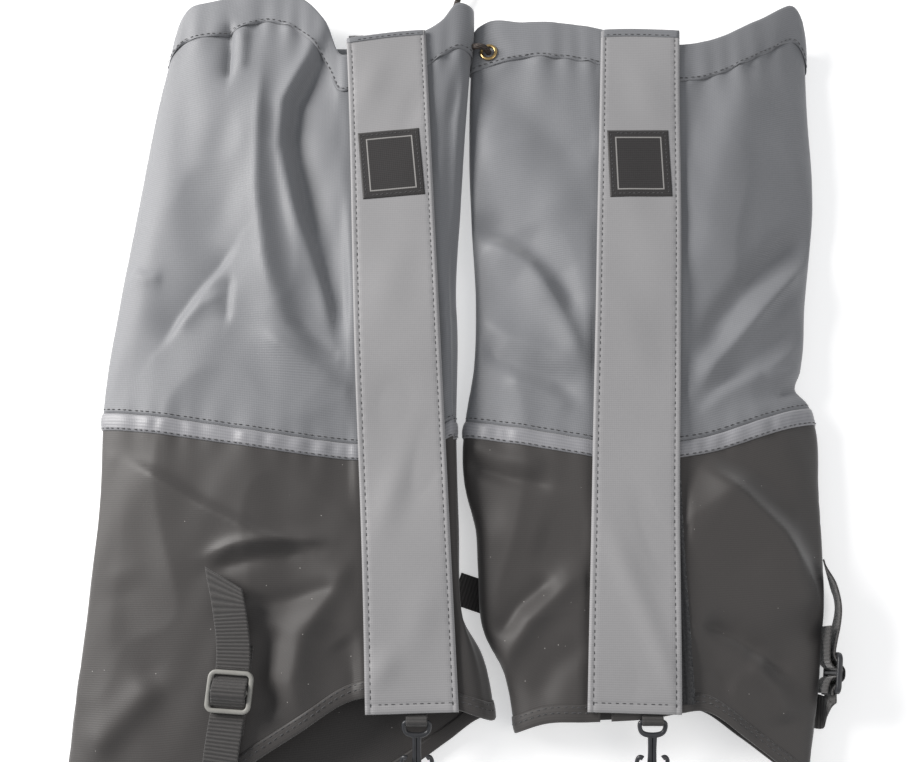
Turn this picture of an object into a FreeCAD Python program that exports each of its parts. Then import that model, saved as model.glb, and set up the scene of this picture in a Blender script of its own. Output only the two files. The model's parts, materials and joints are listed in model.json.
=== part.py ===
import FreeCAD, Part
import math
import os

import Sketcher
from FreeCAD import Placement, Rotation, Vector

# A pair of hiking gaiters, empty and laid on their backs, side by side.
# +X runs across the pair, +Y from foot to knee, +Z up from the surface they lie on.
# "left" is the gaiter on the -X side. On each one a storm flap is sewn along its edge
# nearer the other gaiter's side of the front opening, and closes the opening with tape.
# u is measured across a gaiter from that sewn line, positive towards the flap's free edge.

doc = FreeCAD.newDocument("gaiters")
sheet = doc.addObject("Spreadsheet::Sheet", "dims")

DRIVING_SIZES = [
    # sleeve, flattened
    ("knee_y", 236.0), ("join_y", -29.0), ("ankle_y", -130.0), ("foot_y", -247.0),
    ("sleeve_height", 26.0), ("fabric", 1.2), ("ankle_lift", 3.0), ("corner_radius", 7.0),
    ("outer_fold_radius", 10.0), ("inner_fold_radius", 7.0), ("bottom_inset", 20.0), ("pressed_flat", 0.02),
    ("flat_before_flap", 6.0), ("flat_past_flap", 14.0), ("foot_flat_inset", 2.0),
    # height of the inner fold's middle at the knee, where the left one laps over the cord
    ("left_knee_fold_z", 18.5), ("right_knee_fold_z", 9.0), ("fold_rise", 1.0),
    ("opening_width", 6.0), ("opening_offset", 10.0),
    # where the sewn line stands, and how it leans towards the free edge at the knee
    ("left_sewn_x", -11.3), ("right_sewn_x", 81.5), ("flap_lean", 2.96),
    # reach of each flattened sleeve from the sewn line, inner side and outer side
    ("left_knee_inner", 16.0), ("left_knee_outer", 184.0),
    ("left_join_inner", 8.0), ("left_join_outer", 211.0),
    ("left_ankle_inner", 11.0), ("left_ankle_outer", 209.5),
    ("left_foot_inner", 27.0), ("left_foot_outer", 211.0),
    ("right_knee_inner", 74.0), ("right_knee_outer", 154.0),
    ("right_join_inner", 78.0), ("right_join_outer", 137.0),
    ("right_ankle_inner", 70.0), ("right_ankle_outer", 135.0),
    ("right_foot_inner", 48.0), ("right_foot_outer", 118.0),
    # knee hem, a folded casing for the drawcord
    ("hem_height", 24.0), ("hem_skin", 0.6), ("hem_depth", 5.8), ("cord_diameter", 4.0),
    # seam band and ankle elastic
    ("band_height", 11.0), ("band_thickness", 0.5), ("join_dip", 20.0),
    ("elastic_height", 8.0), ("elastic_thickness", 1.0), ("elastic_inset", 1.0),
    # foot hem and its arch over the instep
    ("foot_hem_height", 9.0), ("arch_rise", 55.0), ("arch_flat", 56.0), ("arch_width", 240.0),
    ("back_arch_share", 0.92), ("back_fold_reach", 20.0), ("back_fold_rise", 8.0),
    # storm flap and its hook and loop tapes
    ("flap_width", 52.5), ("flap_thickness", 1.2), ("flap_top_y", 233.0), ("flap_bottom_y", -200.0),
    ("bead_radius", 1.4), ("bead_clearance", 0.3),
    ("tape_width", 24.0), ("hook_tape_thickness", 0.8), ("loop_tape_thickness", 1.3),
    ("hook_tape_offset", 25.0), ("loop_tape_offset", 27.0), ("loop_tape_lean", 1.5),
    ("tape_end_margin", 8.0), ("tape_clearance", 0.2), ("loop_tape_low_margin", 0.5), ("loop_tape_margins", 6.0),
    # label
    ("label_width", 41.0), ("label_height", 43.0), ("label_thickness", 0.5),
    ("label_corner", 1.0), ("label_y", 135.0),
    # lace hook and its webbing tab
    ("tab_width", 12.0), ("tab_thickness", 1.0), ("tab_length", 38.0), ("tab_past_flap", 2.5),
    ("left_tab_offset", 24.0), ("right_tab_offset", 37.0), ("tab_gap", 0.1),
    ("hook_thickness", 2.6), ("hook_width", 16.4), ("hook_length", 31.5), ("hook_droop", 20.0),
    ("hook_stem", 6.0), ("hook_fluke", 2.9), ("hook_window", 3.8), ("hook_wall", 0.9),
    ("hook_fluke_rise", 11.5), ("hook_crotch", 3.2), ("hook_tip_spread", 0.9), ("hook_tip_drop", 0.6),
    # strap, buckle and anchor tab
    ("strap_width", 19.5), ("strap_thickness", 1.1), ("strap_side_play", 0.6),
    ("buckle_bar", 2.6), ("buckle_length", 23.5), ("buckle_thickness", 3.0),
    ("buckle_height", 6.0), ("centre_bar", 2.5), ("anchor_above", 26.0), ("anchor_thickness", 1.2),
    ("left_anchor_below", 23.0), ("right_anchor_below", 12.0),
    ("tail_length", 52.0), ("tail_slant", 12.0), ("strap_gap", 0.35), ("bar_clearance", 0.25),
    ("strap_past_buckle", 0.4), ("strap_under_bar", 0.2), ("strap_bar_gap", 0.9), ("strap_crest_gap", 0.25),
    ("strap_crest", 2.6), ("left_buckle_turn", 4.0), ("right_buckle_gap", 0.1),
    ("left_buckle_u", 118.4), ("left_buckle_y", -189.0),
    ("right_buckle_y", -178.0), ("right_buckle_z", 13.5),
    # eyelet in the knee hem
    ("eyelet_outer", 12.0), ("eyelet_hole", 7.5), ("eyelet_flange", 0.8), ("eyelet_wall", 0.5),
    ("eyelet_seat", 0.05), ("eyelet_fit", 0.02), ("eyelet_tail", 0.7), ("washer_thickness", 0.5),
    ("cord_end_gap", 0.6),
    ("eyelet_down", 11.5), ("right_eyelet_share", 0.93), ("left_eyelet_share", 0.5),
    # cord lock on the free cord
    ("lock_radius", 6.0), ("lock_length", 18.0), ("lock_bore", 4.06), ("lock_floor", 1.5),
    ("lock_below_cord", 11.5), ("plunger_below_cord", 3.9),
    ("plunger_radius", 4.0), ("plunger_length", 15.0), ("plunger_travel", 3.5),
    ("cord_hole", 4.8), ("spring_wire", 0.5), ("spring_radius", 3.2), ("spring_turns", 4.0),
    ("knot_radius", 4.6),
]

for row, (alias, number) in enumerate(DRIVING_SIZES, start=1):
    sheet.set("A%d" % row, alias)
    sheet.set("B%d" % row, str(number))
    sheet.setAlias("B%d" % row, alias)
doc.recompute()


def size(alias):
    return float(sheet.get(alias))


TOP = size("sleeve_height")
LEAN = math.tan(math.radians(size("flap_lean")))
FAR = 600.0          # reach of the cutting prisms, well past the pair
THROUGH = 3.0        # how far a drilling cylinder stands out of what it drills
PRISM_LOW = -20.0
PRISM_HIGH = 120.0
NODES = []


def publish(thing, label):
    """Give the finished object its label, which is its node's name."""
    thing.Label = label
    NODES.append(thing)
    return thing


def feature(shape, name):
    thing = doc.addObject("Part::Feature", name)
    thing.Shape = shape
    return thing


def bind(thing, **expressions):
    for prop, expression in expressions.items():
        thing.setExpression(prop, expression)
    return thing


def boolean(kind, name, base, tool):
    thing = doc.addObject("Part::" + kind, name)
    thing.Base = base
    thing.Tool = tool
    return thing


class Side:
    """One gaiter: which way its flap opens and where its sewn line stands."""

    def __init__(self, name, direction):
        self.name = name
        self.sign = direction
        self.sewn_x = size(name + "_sewn_x")

    def x(self, u):
        return self.sewn_x + self.sign * u

    def point(self, u, y, z):
        return Vector(self.x(u), y, z)

    def sewn(self, y):
        return LEAN * y

    def reach(self, station, edge):
        return size("%s_%s_%s" % (self.name, station, edge))

    def node(self, word):
        return self.name + "_" + word


LEFT = Side("left", -1.0)
RIGHT = Side("right", 1.0)


# ---- sleeve: a flattened tube, its section a hull of five circles -------------------

def section_circles(side, station):
    """Circles (u, z, radius) at one station, anticlockwise from the inner bottom."""
    y = size(station + "_y")
    inner = side.reach(station, "inner")
    outer = side.reach(station, "outer")
    corner = size("corner_radius")
    fold = size("outer_fold_radius")
    inner_fold = size("inner_fold_radius")
    low = size("ankle_lift") if station in ("ankle", "foot") else 0.0
    inner_z = low + inner_fold + size("fold_rise")
    if station == "knee":
        inner_z = size(side.name + "_knee_fold_z")
    flat_start = side.sewn(y) - size("flat_before_flap")
    flat_end = outer - size("foot_flat_inset")
    if station in ("knee", "join"):
        flat_end = side.sewn(y) + size("flap_width") + size("flat_past_flap")
    return [
        (size("bottom_inset") - inner, low + corner, corner),
        (outer - fold, low + fold, fold),
        (flat_end - corner, TOP - corner, corner),
        (flat_start + corner, TOP - corner, corner),
        (inner_fold - inner, inner_z, inner_fold),
    ]


def knee_circles(side, y):
    """The section between the join and the knee, at height y along the sleeve."""
    share = (y - size("join_y")) / (size("knee_y") - size("join_y"))
    pairs = zip(section_circles(side, "join"), section_circles(side, "knee"))
    return [tuple(a + (b - a) * share for a, b in zip(low, high)) for low, high in pairs]


def outward_normal(first, second):
    """Outward unit normal of the outer tangent from one circle to the next."""
    du = second[0] - first[0]
    dz = second[1] - first[1]
    span = math.hypot(du, dz)
    along = (first[2] - second[2]) / span
    across = math.sqrt(1.0 - along * along)
    return ((du * along + dz * across) / span, (dz * along - du * across) / span)


def hull_wire(side, circles, y, offset):
    """Closed outline around the circles, grown by offset, in the plane at y."""
    count = len(circles)
    normals = [outward_normal(circles[i], circles[(i + 1) % count]) for i in range(count)]
    edges = []
    for i, (u, z, radius) in enumerate(circles):
        before = normals[i - 1]
        after = normals[i]
        middle = (before[0] + after[0], before[1] + after[1])
        length = math.hypot(*middle)
        middle = (middle[0] / length, middle[1] / length)
        grown = radius + offset
        start, mid, end = [side.point(u + n[0] * grown, y, z + n[1] * grown) for n in (before, middle, after)]
        edges.append(Part.Arc(start, mid, end).toShape())
        following = circles[(i + 1) % count]
        reach = following[2] + offset
        target = side.point(following[0] + after[0] * reach, y, following[1] + after[1] * reach)
        edges.append(Part.makeLine(end, target))
    return Part.Wire(edges)


STATIONS = ("foot", "ankle", "join", "knee")


def sleeve_body(side, offset):
    """The whole flattened tube as one solid, grown or shrunk by offset."""
    wires = [hull_wire(side, section_circles(side, name), size(name + "_y"), offset) for name in STATIONS]
    return Part.makeLoft(wires, True, True)


def prism(points, low=PRISM_LOW, high=PRISM_HIGH):
    """Upright solid over an outline of (x, y) points."""
    corners = [Vector(x, y, low) for x, y in points]
    face = Part.Face(Part.makePolygon(corners + corners[:1]))
    return face.extrude(Vector(0, 0, high - low))


def leaning_strip(side, start, width, low, lean_degrees=None):
    """Upright prism along the front, start to start + width from the sewn line."""
    lean = LEAN if lean_degrees is None else math.tan(math.radians(lean_degrees))
    outline = []
    for y in (-FAR, FAR):
        outline.append((side.x(lean * y + start), y))
    for y in (FAR, -FAR):
        outline.append((side.x(lean * y + start + width), y))
    return prism(outline, low=low)


def front_middle(side, y):
    return side.sewn(y) + size("flap_width") / 2.0


def above_join(side, shift):
    """Everything knee-side of the join line, which dips towards the flap."""
    y = size("join_y") + shift
    outline = [
        (side.x(-FAR), y),
        (side.x(-side.reach("join", "inner")), y),
        (side.x(front_middle(side, y)), y - size("join_dip")),
        (side.x(side.reach("join", "outer")), y),
        (side.x(FAR), y),
        (side.x(FAR), FAR),
        (side.x(-FAR), FAR),
    ]
    return prism(outline)


def arch_outline(side, shift):
    """Foot-side of the hem line, arched up over the instep at the flap."""
    middle = front_middle(side, size("foot_y") + size("arch_rise"))
    base = size("foot_y") + shift
    peak = base + size("arch_rise")
    half_flat = size("arch_flat") / 2.0
    half_width = size("arch_width") / 2.0
    return [
        (side.x(-FAR), base),
        (side.x(middle - half_width), base),
        (side.x(middle - half_flat), peak),
        (side.x(middle + half_flat), peak),
        (side.x(middle + half_width), base),
        (side.x(FAR), base),
        (side.x(FAR), -FAR),
        (side.x(-FAR), -FAR),
    ]


def foot_cutter(side, shift):
    """What the foot hem line leaves off, front and back."""
    if side is RIGHT:
        return prism(arch_outline(side, shift))
    middle_z = TOP / 2.0
    front = prism(arch_outline(side, shift), low=middle_z)
    # On the left gaiter the arch runs round the inner fold on to the back.
    base = size("foot_y") + shift
    fold = -side.reach("foot", "inner")
    turned = fold + size("arch_width") / 2.0 - (front_middle(side, base) - fold)
    rise = size("arch_rise") * size("back_arch_share")
    beyond = fold - size("back_fold_reach")
    back = prism([
        (side.x(beyond), base + rise + size("back_fold_rise")),
        (side.x(fold), base + rise),
        (side.x(turned), base),
        (side.x(FAR), base),
        (side.x(FAR), -FAR),
        (side.x(beyond), -FAR),
    ], high=middle_z)
    return front.fuse(back)


def build_sleeve(side):
    above_floor = prism([(-FAR, -FAR), (FAR, -FAR), (FAR, FAR), (-FAR, FAR)], low=size("pressed_flat"))
    outside = sleeve_body(side, 0.0).common(above_floor)
    inside = sleeve_body(side, -size("fabric"))
    opening = leaning_strip(side, size("opening_offset"), size("opening_width"), TOP / 2.0)
    shell = outside.cut(inside).cut(opening)
    hem_line = size("knee_y") - size("hem_height")
    knee_zone = prism([(-FAR, hem_line), (FAR, hem_line), (FAR, FAR), (-FAR, FAR)])
    upper_zone = above_join(side, 0.0)

    upper = shell.common(upper_zone).cut(knee_zone)
    publish(feature(upper, side.node("upper")), side.node("upper_panel"))

    below = shell.cut(upper_zone)
    lower = below.cut(foot_cutter(side, size("foot_hem_height")))
    publish(feature(lower, side.node("lower")), side.node("lower_panel"))

    hem = below.common(foot_cutter(side, size("foot_hem_height"))).cut(foot_cutter(side, 0.0))
    publish(feature(hem, side.node("foot_hem_shell")), side.node("foot_hem"))

    clearance = size("tape_clearance")
    tape = leaning_strip(side, size("loop_tape_offset") - clearance, size("tape_width") + 2.0 * clearance,
                         TOP / 2.0, size("loop_tape_lean"))
    band_zone = above_join(side, -size("band_height")).cut(upper_zone)
    band = sleeve_body(side, size("band_thickness")).cut(outside).common(band_zone)
    band = band.cut(opening).cut(tape).common(above_floor)
    publish(feature(band, side.node("band")), side.node("seam_band"))

    depth = size("fabric")
    inset = size("elastic_inset")
    elastic_zone = above_join(side, -size("elastic_height") - inset).cut(above_join(side, -inset))
    back_half = prism([(-FAR, -FAR), (FAR, -FAR), (FAR, FAR), (-FAR, FAR)], high=TOP / 3.0)
    elastic = inside.cut(sleeve_body(side, -depth - size("elastic_thickness")))
    elastic = elastic.common(elastic_zone).common(back_half)
    publish(feature(elastic, side.node("elastic")), side.node("ankle_elastic"))

    build_knee_hem(side, outside, opening, knee_zone, hem_line)


def eyelet_frame(side):
    """Placement of the eyelet: origin on the hem's face, +Z outward."""
    y = size("knee_y") - size("eyelet_down")
    circles = knee_circles(side, y)
    # Right: on the front face. Left: on the raised underside of the inner fold.
    first, second = (circles[3], circles[4]) if side is RIGHT else (circles[4], circles[0])
    normal = outward_normal(first, second)
    start = Vector(first[0] + normal[0] * first[2], 0, first[1] + normal[1] * first[2])
    end = Vector(second[0] + normal[0] * second[2], 0, second[1] + normal[1] * second[2])
    place = start + (end - start) * size(side.name + "_eyelet_share")
    outward = Vector(side.sign * normal[0], 0, normal[1])
    return Placement(side.point(place.x, y, place.z), Rotation(Vector(0, 0, 1), outward))


def placed_cylinder(radius, low, high, frame):
    solid = Part.makeCylinder(radius, high - low, Vector(0, 0, low))
    solid.Placement = frame.multiply(solid.Placement)
    return solid


def build_knee_hem(side, outside, opening, knee_zone, hem_line):
    skin = size("hem_skin")
    depth = size("hem_depth")
    top = size("knee_y")
    ring = outside.cut(sleeve_body(side, -depth)).common(knee_zone)
    cavity_zone = prism([(-FAR, hem_line + skin), (FAR, hem_line + skin), (FAR, top - skin), (-FAR, top - skin)])
    cavity = sleeve_body(side, -skin).cut(sleeve_body(side, skin - depth)).common(cavity_zone)
    frame = eyelet_frame(side)
    barrel = size("eyelet_hole") / 2.0 + size("eyelet_wall")
    hole = placed_cylinder(barrel, -THROUGH / 2.0, THROUGH / 2.0, frame)
    hem = ring.cut(cavity).cut(opening).cut(hole)
    publish(feature(hem, side.node("hem")), side.node("knee_hem"))

    # The drawcord lies in the casing and stops at the eyelet, where it comes out.
    middle_y = (hem_line + top) / 2.0
    route = hull_wire(side, knee_circles(side, middle_y), middle_y, -depth / 2.0)
    cord_radius = size("cord_diameter") / 2.0
    start = route.Edges[1].valueAt(route.Edges[1].FirstParameter)
    direction = route.Edges[1].tangentAt(route.Edges[1].FirstParameter)
    ordered = Part.Wire(route.Edges[1:] + route.Edges[:1])
    circle = Part.Wire(Part.makeCircle(cord_radius, start, direction))
    cord = ordered.makePipeShell([circle], True, False)
    slit_gap = 1.0
    slit = leaning_strip(side, size("opening_offset") - slit_gap, size("opening_width") + 2.0 * slit_gap, TOP / 2.0)
    gap = placed_cylinder(size("eyelet_outer") / 2.0 + size("cord_end_gap"), -depth, THROUGH, frame)
    cord = cord.cut(slit).cut(gap)
    publish(feature(cord, side.node("drawcord_shape")), side.node("hem_drawcord"))

    # Brass eyelet: flange and barrel in one piece, and the washer it is rolled over.
    skin_low = -skin
    flange = placed_cylinder(size("eyelet_outer") / 2.0, size("eyelet_seat"), size("eyelet_flange"), frame)
    tube_low = skin_low - size("eyelet_tail")
    tube = placed_cylinder(barrel - size("eyelet_fit"), tube_low, size("eyelet_flange"), frame)
    bore = placed_cylinder(size("eyelet_hole") / 2.0, -THROUGH, THROUGH, frame)
    eyelet = flange.fuse(tube).cut(bore).removeSplitter()
    publish(feature(eyelet, side.node("eyelet_shape")), side.node("eyelet"))
    washer_low = tube_low - size("eyelet_seat")
    washer = placed_cylinder(size("eyelet_outer") / 2.0, washer_low, washer_low + size("washer_thickness"), frame)
    washer = washer.cut(placed_cylinder(barrel, -THROUGH, THROUGH, frame))
    publish(feature(washer, side.node("washer_shape")), side.node("eyelet_washer"))


# ---- storm flap, tapes and label ------------------------------------------------------

def flap_frame(side, across, along, z):
    """Placement on the leaning front: local Y runs along the flap, local X across it."""
    turn = Rotation(Vector(0, 0, 1), -side.sign * size("flap_lean"))
    base = side.point(0.0, 0.0, z)
    return Placement(base, turn).multiply(Placement(Vector(side.sign * across, along, 0), Rotation()))


def bead_height():
    return TOP + size("band_thickness") + size("bead_clearance") + size("bead_radius")


def flap_underside():
    return bead_height() + size("bead_radius") - size("flap_thickness")


def build_flap(side):
    length = size("flap_top_y") - size("flap_bottom_y")
    width = size("flap_width")
    slab = doc.addObject("Part::Box", side.node("flap_slab"))
    bind(slab, Length="dims.flap_width", Width="dims.flap_top_y - dims.flap_bottom_y",
         Height="dims.flap_thickness")
    across = 0.0 if side.sign > 0 else width
    slab.Placement = flap_frame(side, across, size("flap_bottom_y"), flap_underside())
    bead = doc.addObject("Part::Cylinder", side.node("flap_bead"))
    bind(bead, Radius="dims.bead_radius", Height="dims.flap_top_y - dims.flap_bottom_y")
    lay = Rotation(Vector(1, 0, 0), -90)
    bead.Placement = flap_frame(side, 0.0, size("flap_bottom_y"), bead_height()).multiply(Placement(Vector(), lay))
    flap = boolean("Fuse", side.node("flap"), slab, bead)
    publish(flap, side.node("storm_flap"))

    hook = doc.addObject("Part::Box", side.node("hook_box"))
    bind(hook, Length="dims.tape_width", Height="dims.hook_tape_thickness",
         Width="dims.flap_top_y - dims.flap_bottom_y - 2 * dims.tape_end_margin")
    across = size("hook_tape_offset") + (0.0 if side.sign > 0 else size("tape_width"))
    low = flap_underside() - size("hook_tape_thickness")
    hook.Placement = flap_frame(side, across, size("flap_bottom_y") + size("tape_end_margin"), low)
    publish(hook, side.node("hook_tape"))

    loop = doc.addObject("Part::Box", side.node("loop_box"))
    bottom = size("foot_y") + size("arch_rise") + size("loop_tape_low_margin")
    bind(loop, Length="dims.tape_width", Height="dims.loop_tape_thickness",
         Width="dims.knee_y - dims.foot_y - dims.arch_rise - dims.loop_tape_margins")
    turn = Rotation(Vector(0, 0, 1), -side.sign * size("loop_tape_lean"))
    across = size("loop_tape_offset") + (0.0 if side.sign > 0 else size("tape_width"))
    start = Placement(side.point(0.0, 0.0, TOP), turn)
    loop.Placement = start.multiply(Placement(Vector(side.sign * across, bottom, 0), Rotation()))
    publish(loop, side.node("loop_tape"))
    build_label(side)


def origin_plane(body, role):
    for plane in body.Origin.OriginFeatures:
        if plane.Role == role:
            return plane
    raise RuntimeError("no plane " + role)


def attach(body, name, role):
    sketch = body.newObject("Sketcher::SketchObject", name)
    sketch.AttachmentSupport = (origin_plane(body, role), [""])
    sketch.MapMode = "FlatFace"
    return sketch


def centred_rectangle(sketch, width_expression, height_expression):
    """Rectangle centred on the sketch's origin, its two sizes bound to the sheet."""
    corners = [Vector(-1, -1, 0), Vector(1, -1, 0), Vector(1, 1, 0), Vector(-1, 1, 0)]
    lines = []
    for i in range(4):
        lines.append(sketch.addGeometry(Part.LineSegment(corners[i], corners[(i + 1) % 4]), False))
    for i in range(4):
        sketch.addConstraint(Sketcher.Constraint("Coincident", lines[i], 2, lines[(i + 1) % 4], 1))
    for i in (0, 2):
        sketch.addConstraint(Sketcher.Constraint("Horizontal", lines[i]))
        sketch.addConstraint(Sketcher.Constraint("Vertical", lines[i + 1]))
    sketch.addConstraint(Sketcher.Constraint("Symmetric", lines[0], 1, lines[2], 1, -1, 1))
    width = sketch.addConstraint(Sketcher.Constraint("DistanceX", lines[0], 1, lines[0], 2, 2.0))
    height = sketch.addConstraint(Sketcher.Constraint("DistanceY", lines[1], 1, lines[1], 2, 2.0))
    sketch.setExpression("Constraints[%d]" % width, width_expression)
    sketch.setExpression("Constraints[%d]" % height, height_expression)


def pad(body, sketch, name, length_expression, midplane=False):
    thing = body.newObject("PartDesign::Pad", name)
    thing.Profile = sketch
    thing.Midplane = midplane
    thing.setExpression("Length", length_expression)
    sketch.Visibility = False
    return thing


def edge_names(shape, wanted):
    return ["Edge%d" % (i + 1) for i, edge in enumerate(shape.Edges) if wanted(edge)]


def fillet(body, base, name, radius_expression, wanted):
    doc.recompute()
    thing = body.newObject("PartDesign::Fillet", name)
    thing.Base = (base, edge_names(base.Shape, wanted))
    thing.setExpression("Radius", radius_expression)
    return thing


def upright(edge):
    ends = [v.Point for v in edge.Vertexes]
    return len(ends) == 2 and abs(ends[0].x - ends[1].x) < 1e-6 and abs(ends[0].y - ends[1].y) < 1e-6


def build_label(side):
    body = doc.addObject("PartDesign::Body", side.node("label_body"))
    sketch = attach(body, side.node("label_outline"), "XY_Plane")
    centred_rectangle(sketch, "dims.label_width", "dims.label_height")
    patch = pad(body, sketch, side.node("label_pad"), "dims.label_thickness")
    fillet(body, patch, side.node("label_round"), "dims.label_corner", upright)
    top = flap_underside() + size("flap_thickness")
    body.Placement = flap_frame(side, size("flap_width") / 2.0, size("label_y"), top)
    publish(body, side.node("label"))


# ---- lace hook on its webbing tab -----------------------------------------------------

def ring_outside(bar_radius, thickness_alias):
    return bar_radius + size("bar_clearance") + size(thickness_alias)


def tab_low():
    """Underside of the hook's tab, which is sewn to the inside of the front."""
    return TOP - size("fabric") - size("tab_gap") - size("tab_thickness")


def hook_axis(side):
    """Middle of the hook's bar, in the tab's loop just past the flap's end."""
    outside = ring_outside(size("hook_thickness") / 2.0, "tab_thickness")
    y = size("flap_bottom_y") - outside - size("tab_past_flap")
    return side.point(side.sewn(y) + size(side.name + "_tab_offset"), y, tab_low() + outside)


def build_hook_tab(side):
    centre = hook_axis(side)
    start_x = centre.x - size("tab_width") / 2.0
    across = Rotation(Vector(0, 1, 0), 90)
    strip = doc.addObject("Part::Box", side.node("tab_strip"))
    bind(strip, Length="dims.tab_width", Width="dims.tab_length", Height="dims.tab_thickness")
    strip.Placement = Placement(Vector(start_x, centre.y, tab_low()), Rotation())
    loop = doc.addObject("Part::Cylinder", side.node("tab_loop"))
    bind(loop, Radius="dims.hook_thickness / 2 + dims.bar_clearance + dims.tab_thickness",
         Height="dims.tab_width")
    loop.Placement = Placement(Vector(start_x, centre.y, centre.z), across)
    hole = doc.addObject("Part::Cylinder", side.node("tab_hole"))
    bind(hole, Radius="dims.hook_thickness / 2 + dims.bar_clearance", Height="dims.tab_width + 2")
    hole.Placement = Placement(Vector(start_x - 1.0, centre.y, centre.z), across)
    joined = boolean("Fuse", side.node("tab_joined"), strip, loop)
    tab = boolean("Cut", side.node("tab"), joined, hole)
    publish(tab, side.node("hook_tab"))


def build_lace_hook(side):
    """Flat moulded hook: a slotted head, a stem and two upturned flukes."""
    body = doc.addObject("PartDesign::Body", side.node("lace_hook_body"))
    sketch = attach(body, side.node("lace_hook_outline"), "XY_Plane")
    half_bar = size("hook_thickness") / 2.0
    half_head = size("hook_width") / 2.0
    half_stem = size("hook_stem") / 2.0
    head_end = -(size("hook_window") + 3.0 * half_bar + size("hook_wall"))
    low_y = half_bar - size("hook_length")
    tip_y = low_y + size("hook_fluke_rise")
    fluke = size("hook_fluke")
    tip_x = half_head + size("hook_tip_spread")
    tip_drop = size("hook_tip_drop")
    crotch = size("hook_crotch")
    crotch_y = low_y + fluke + crotch
    # Middles of the flukes' inner and outer arcs.
    inside_x, inside_y = half_stem + 0.7 * crotch, crotch_y + 0.45 * crotch
    outside_x, outside_y = 0.74 * tip_x, low_y + crotch
    chain = [
        (Vector(-half_head, half_bar, 0), None),
        (Vector(half_head, half_bar, 0), None),
        (Vector(half_head, head_end, 0), None),
        (Vector(half_stem, head_end, 0), None),
        (Vector(half_stem, crotch_y, 0), Vector(inside_x, inside_y, 0)),
        (Vector(tip_x - fluke, tip_y, 0), None),
        (Vector(tip_x, tip_y - tip_drop, 0), Vector(outside_x, outside_y, 0)),
        (Vector(0, low_y, 0), Vector(-outside_x, outside_y, 0)),
        (Vector(-tip_x, tip_y - tip_drop, 0), None),
        (Vector(fluke - tip_x, tip_y, 0), Vector(-inside_x, inside_y, 0)),
        (Vector(-half_stem, crotch_y, 0), None),
        (Vector(-half_stem, head_end, 0), None),
        (Vector(-half_head, head_end, 0), None),
    ]
    for i, (start, through) in enumerate(chain):
        end = chain[(i + 1) % len(chain)][0]
        if through is None:
            sketch.addGeometry(Part.LineSegment(start, end), False)
        else:
            sketch.addGeometry(Part.Arc(start, through, end), False)
    plate = pad(body, sketch, side.node("lace_hook_plate"), "dims.hook_thickness", midplane=True)
    window = attach(body, side.node("lace_hook_window"), "XY_Plane")
    half_slot = half_head - half_bar * 1.4
    low = -half_bar - size("hook_window")
    corners = [(-half_slot, low), (half_slot, low), (half_slot, -half_bar), (-half_slot, -half_bar)]
    for i in range(4):
        start = Vector(corners[i][0], corners[i][1], 0)
        end = Vector(corners[(i + 1) % 4][0], corners[(i + 1) % 4][1], 0)
        window.addGeometry(Part.LineSegment(start, end), False)
    slot = body.newObject("PartDesign::Pocket", side.node("lace_hook_slot"))
    slot.Profile = window
    slot.Type = "ThroughAll"
    slot.Midplane = True

    def on_bar(edge):
        middle = edge.BoundBox.Center
        straight = edge.BoundBox.YLength < 1e-6 and edge.BoundBox.ZLength < 1e-6
        return straight and abs(abs(middle.y) - half_bar) < 1e-6 and abs(abs(middle.z) - half_bar) < 1e-6

    fillet(body, slot, side.node("lace_hook_bar"), "dims.hook_thickness / 2 - 0.1", on_bar)
    droop = Rotation(Vector(1, 0, 0), size("hook_droop"))
    body.Placement = Placement(hook_axis(side), droop)
    publish(body, side.node("lace_hook"))


# ---- instep strap, its slide buckle and the anchor tab ----------------------------------

def buckle_frame(side):
    """Placement of the buckle: +Y towards the strap's tail, +Z away from the fabric."""
    if side is LEFT:
        base = side.point(size("left_buckle_u"), size("left_buckle_y"), TOP)
        return Placement(base, Rotation(Vector(0, 0, 1), -size("left_buckle_turn")))
    y = size("right_buckle_y")
    span = size("ankle_y") - size("foot_y")
    share = (y - size("foot_y")) / span
    foot = side.reach("foot", "outer")
    ankle = side.reach("ankle", "outer")
    slope = math.degrees(math.atan((ankle - foot) / span))
    base = side.point(foot + (ankle - foot) * share + size("right_buckle_gap"), y, size("right_buckle_z"))
    stand = Rotation(Vector(0, 0, 1), -slope).multiply(Rotation(Vector(0, 1, 0), 90))
    return Placement(base, stand)


def box_at(name, frame, low_corner, **expressions):
    box = doc.addObject("Part::Box", name)
    bind(box, **expressions)
    box.Placement = frame.multiply(Placement(low_corner, Rotation()))
    return box


def rod_at(name, frame, start, radius_expression, length_expression):
    rod = doc.addObject("Part::Cylinder", name)
    bind(rod, Radius=radius_expression, Height=length_expression)
    rod.Placement = frame.multiply(Placement(start, Rotation(Vector(0, 1, 0), 90)))
    return rod


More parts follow.
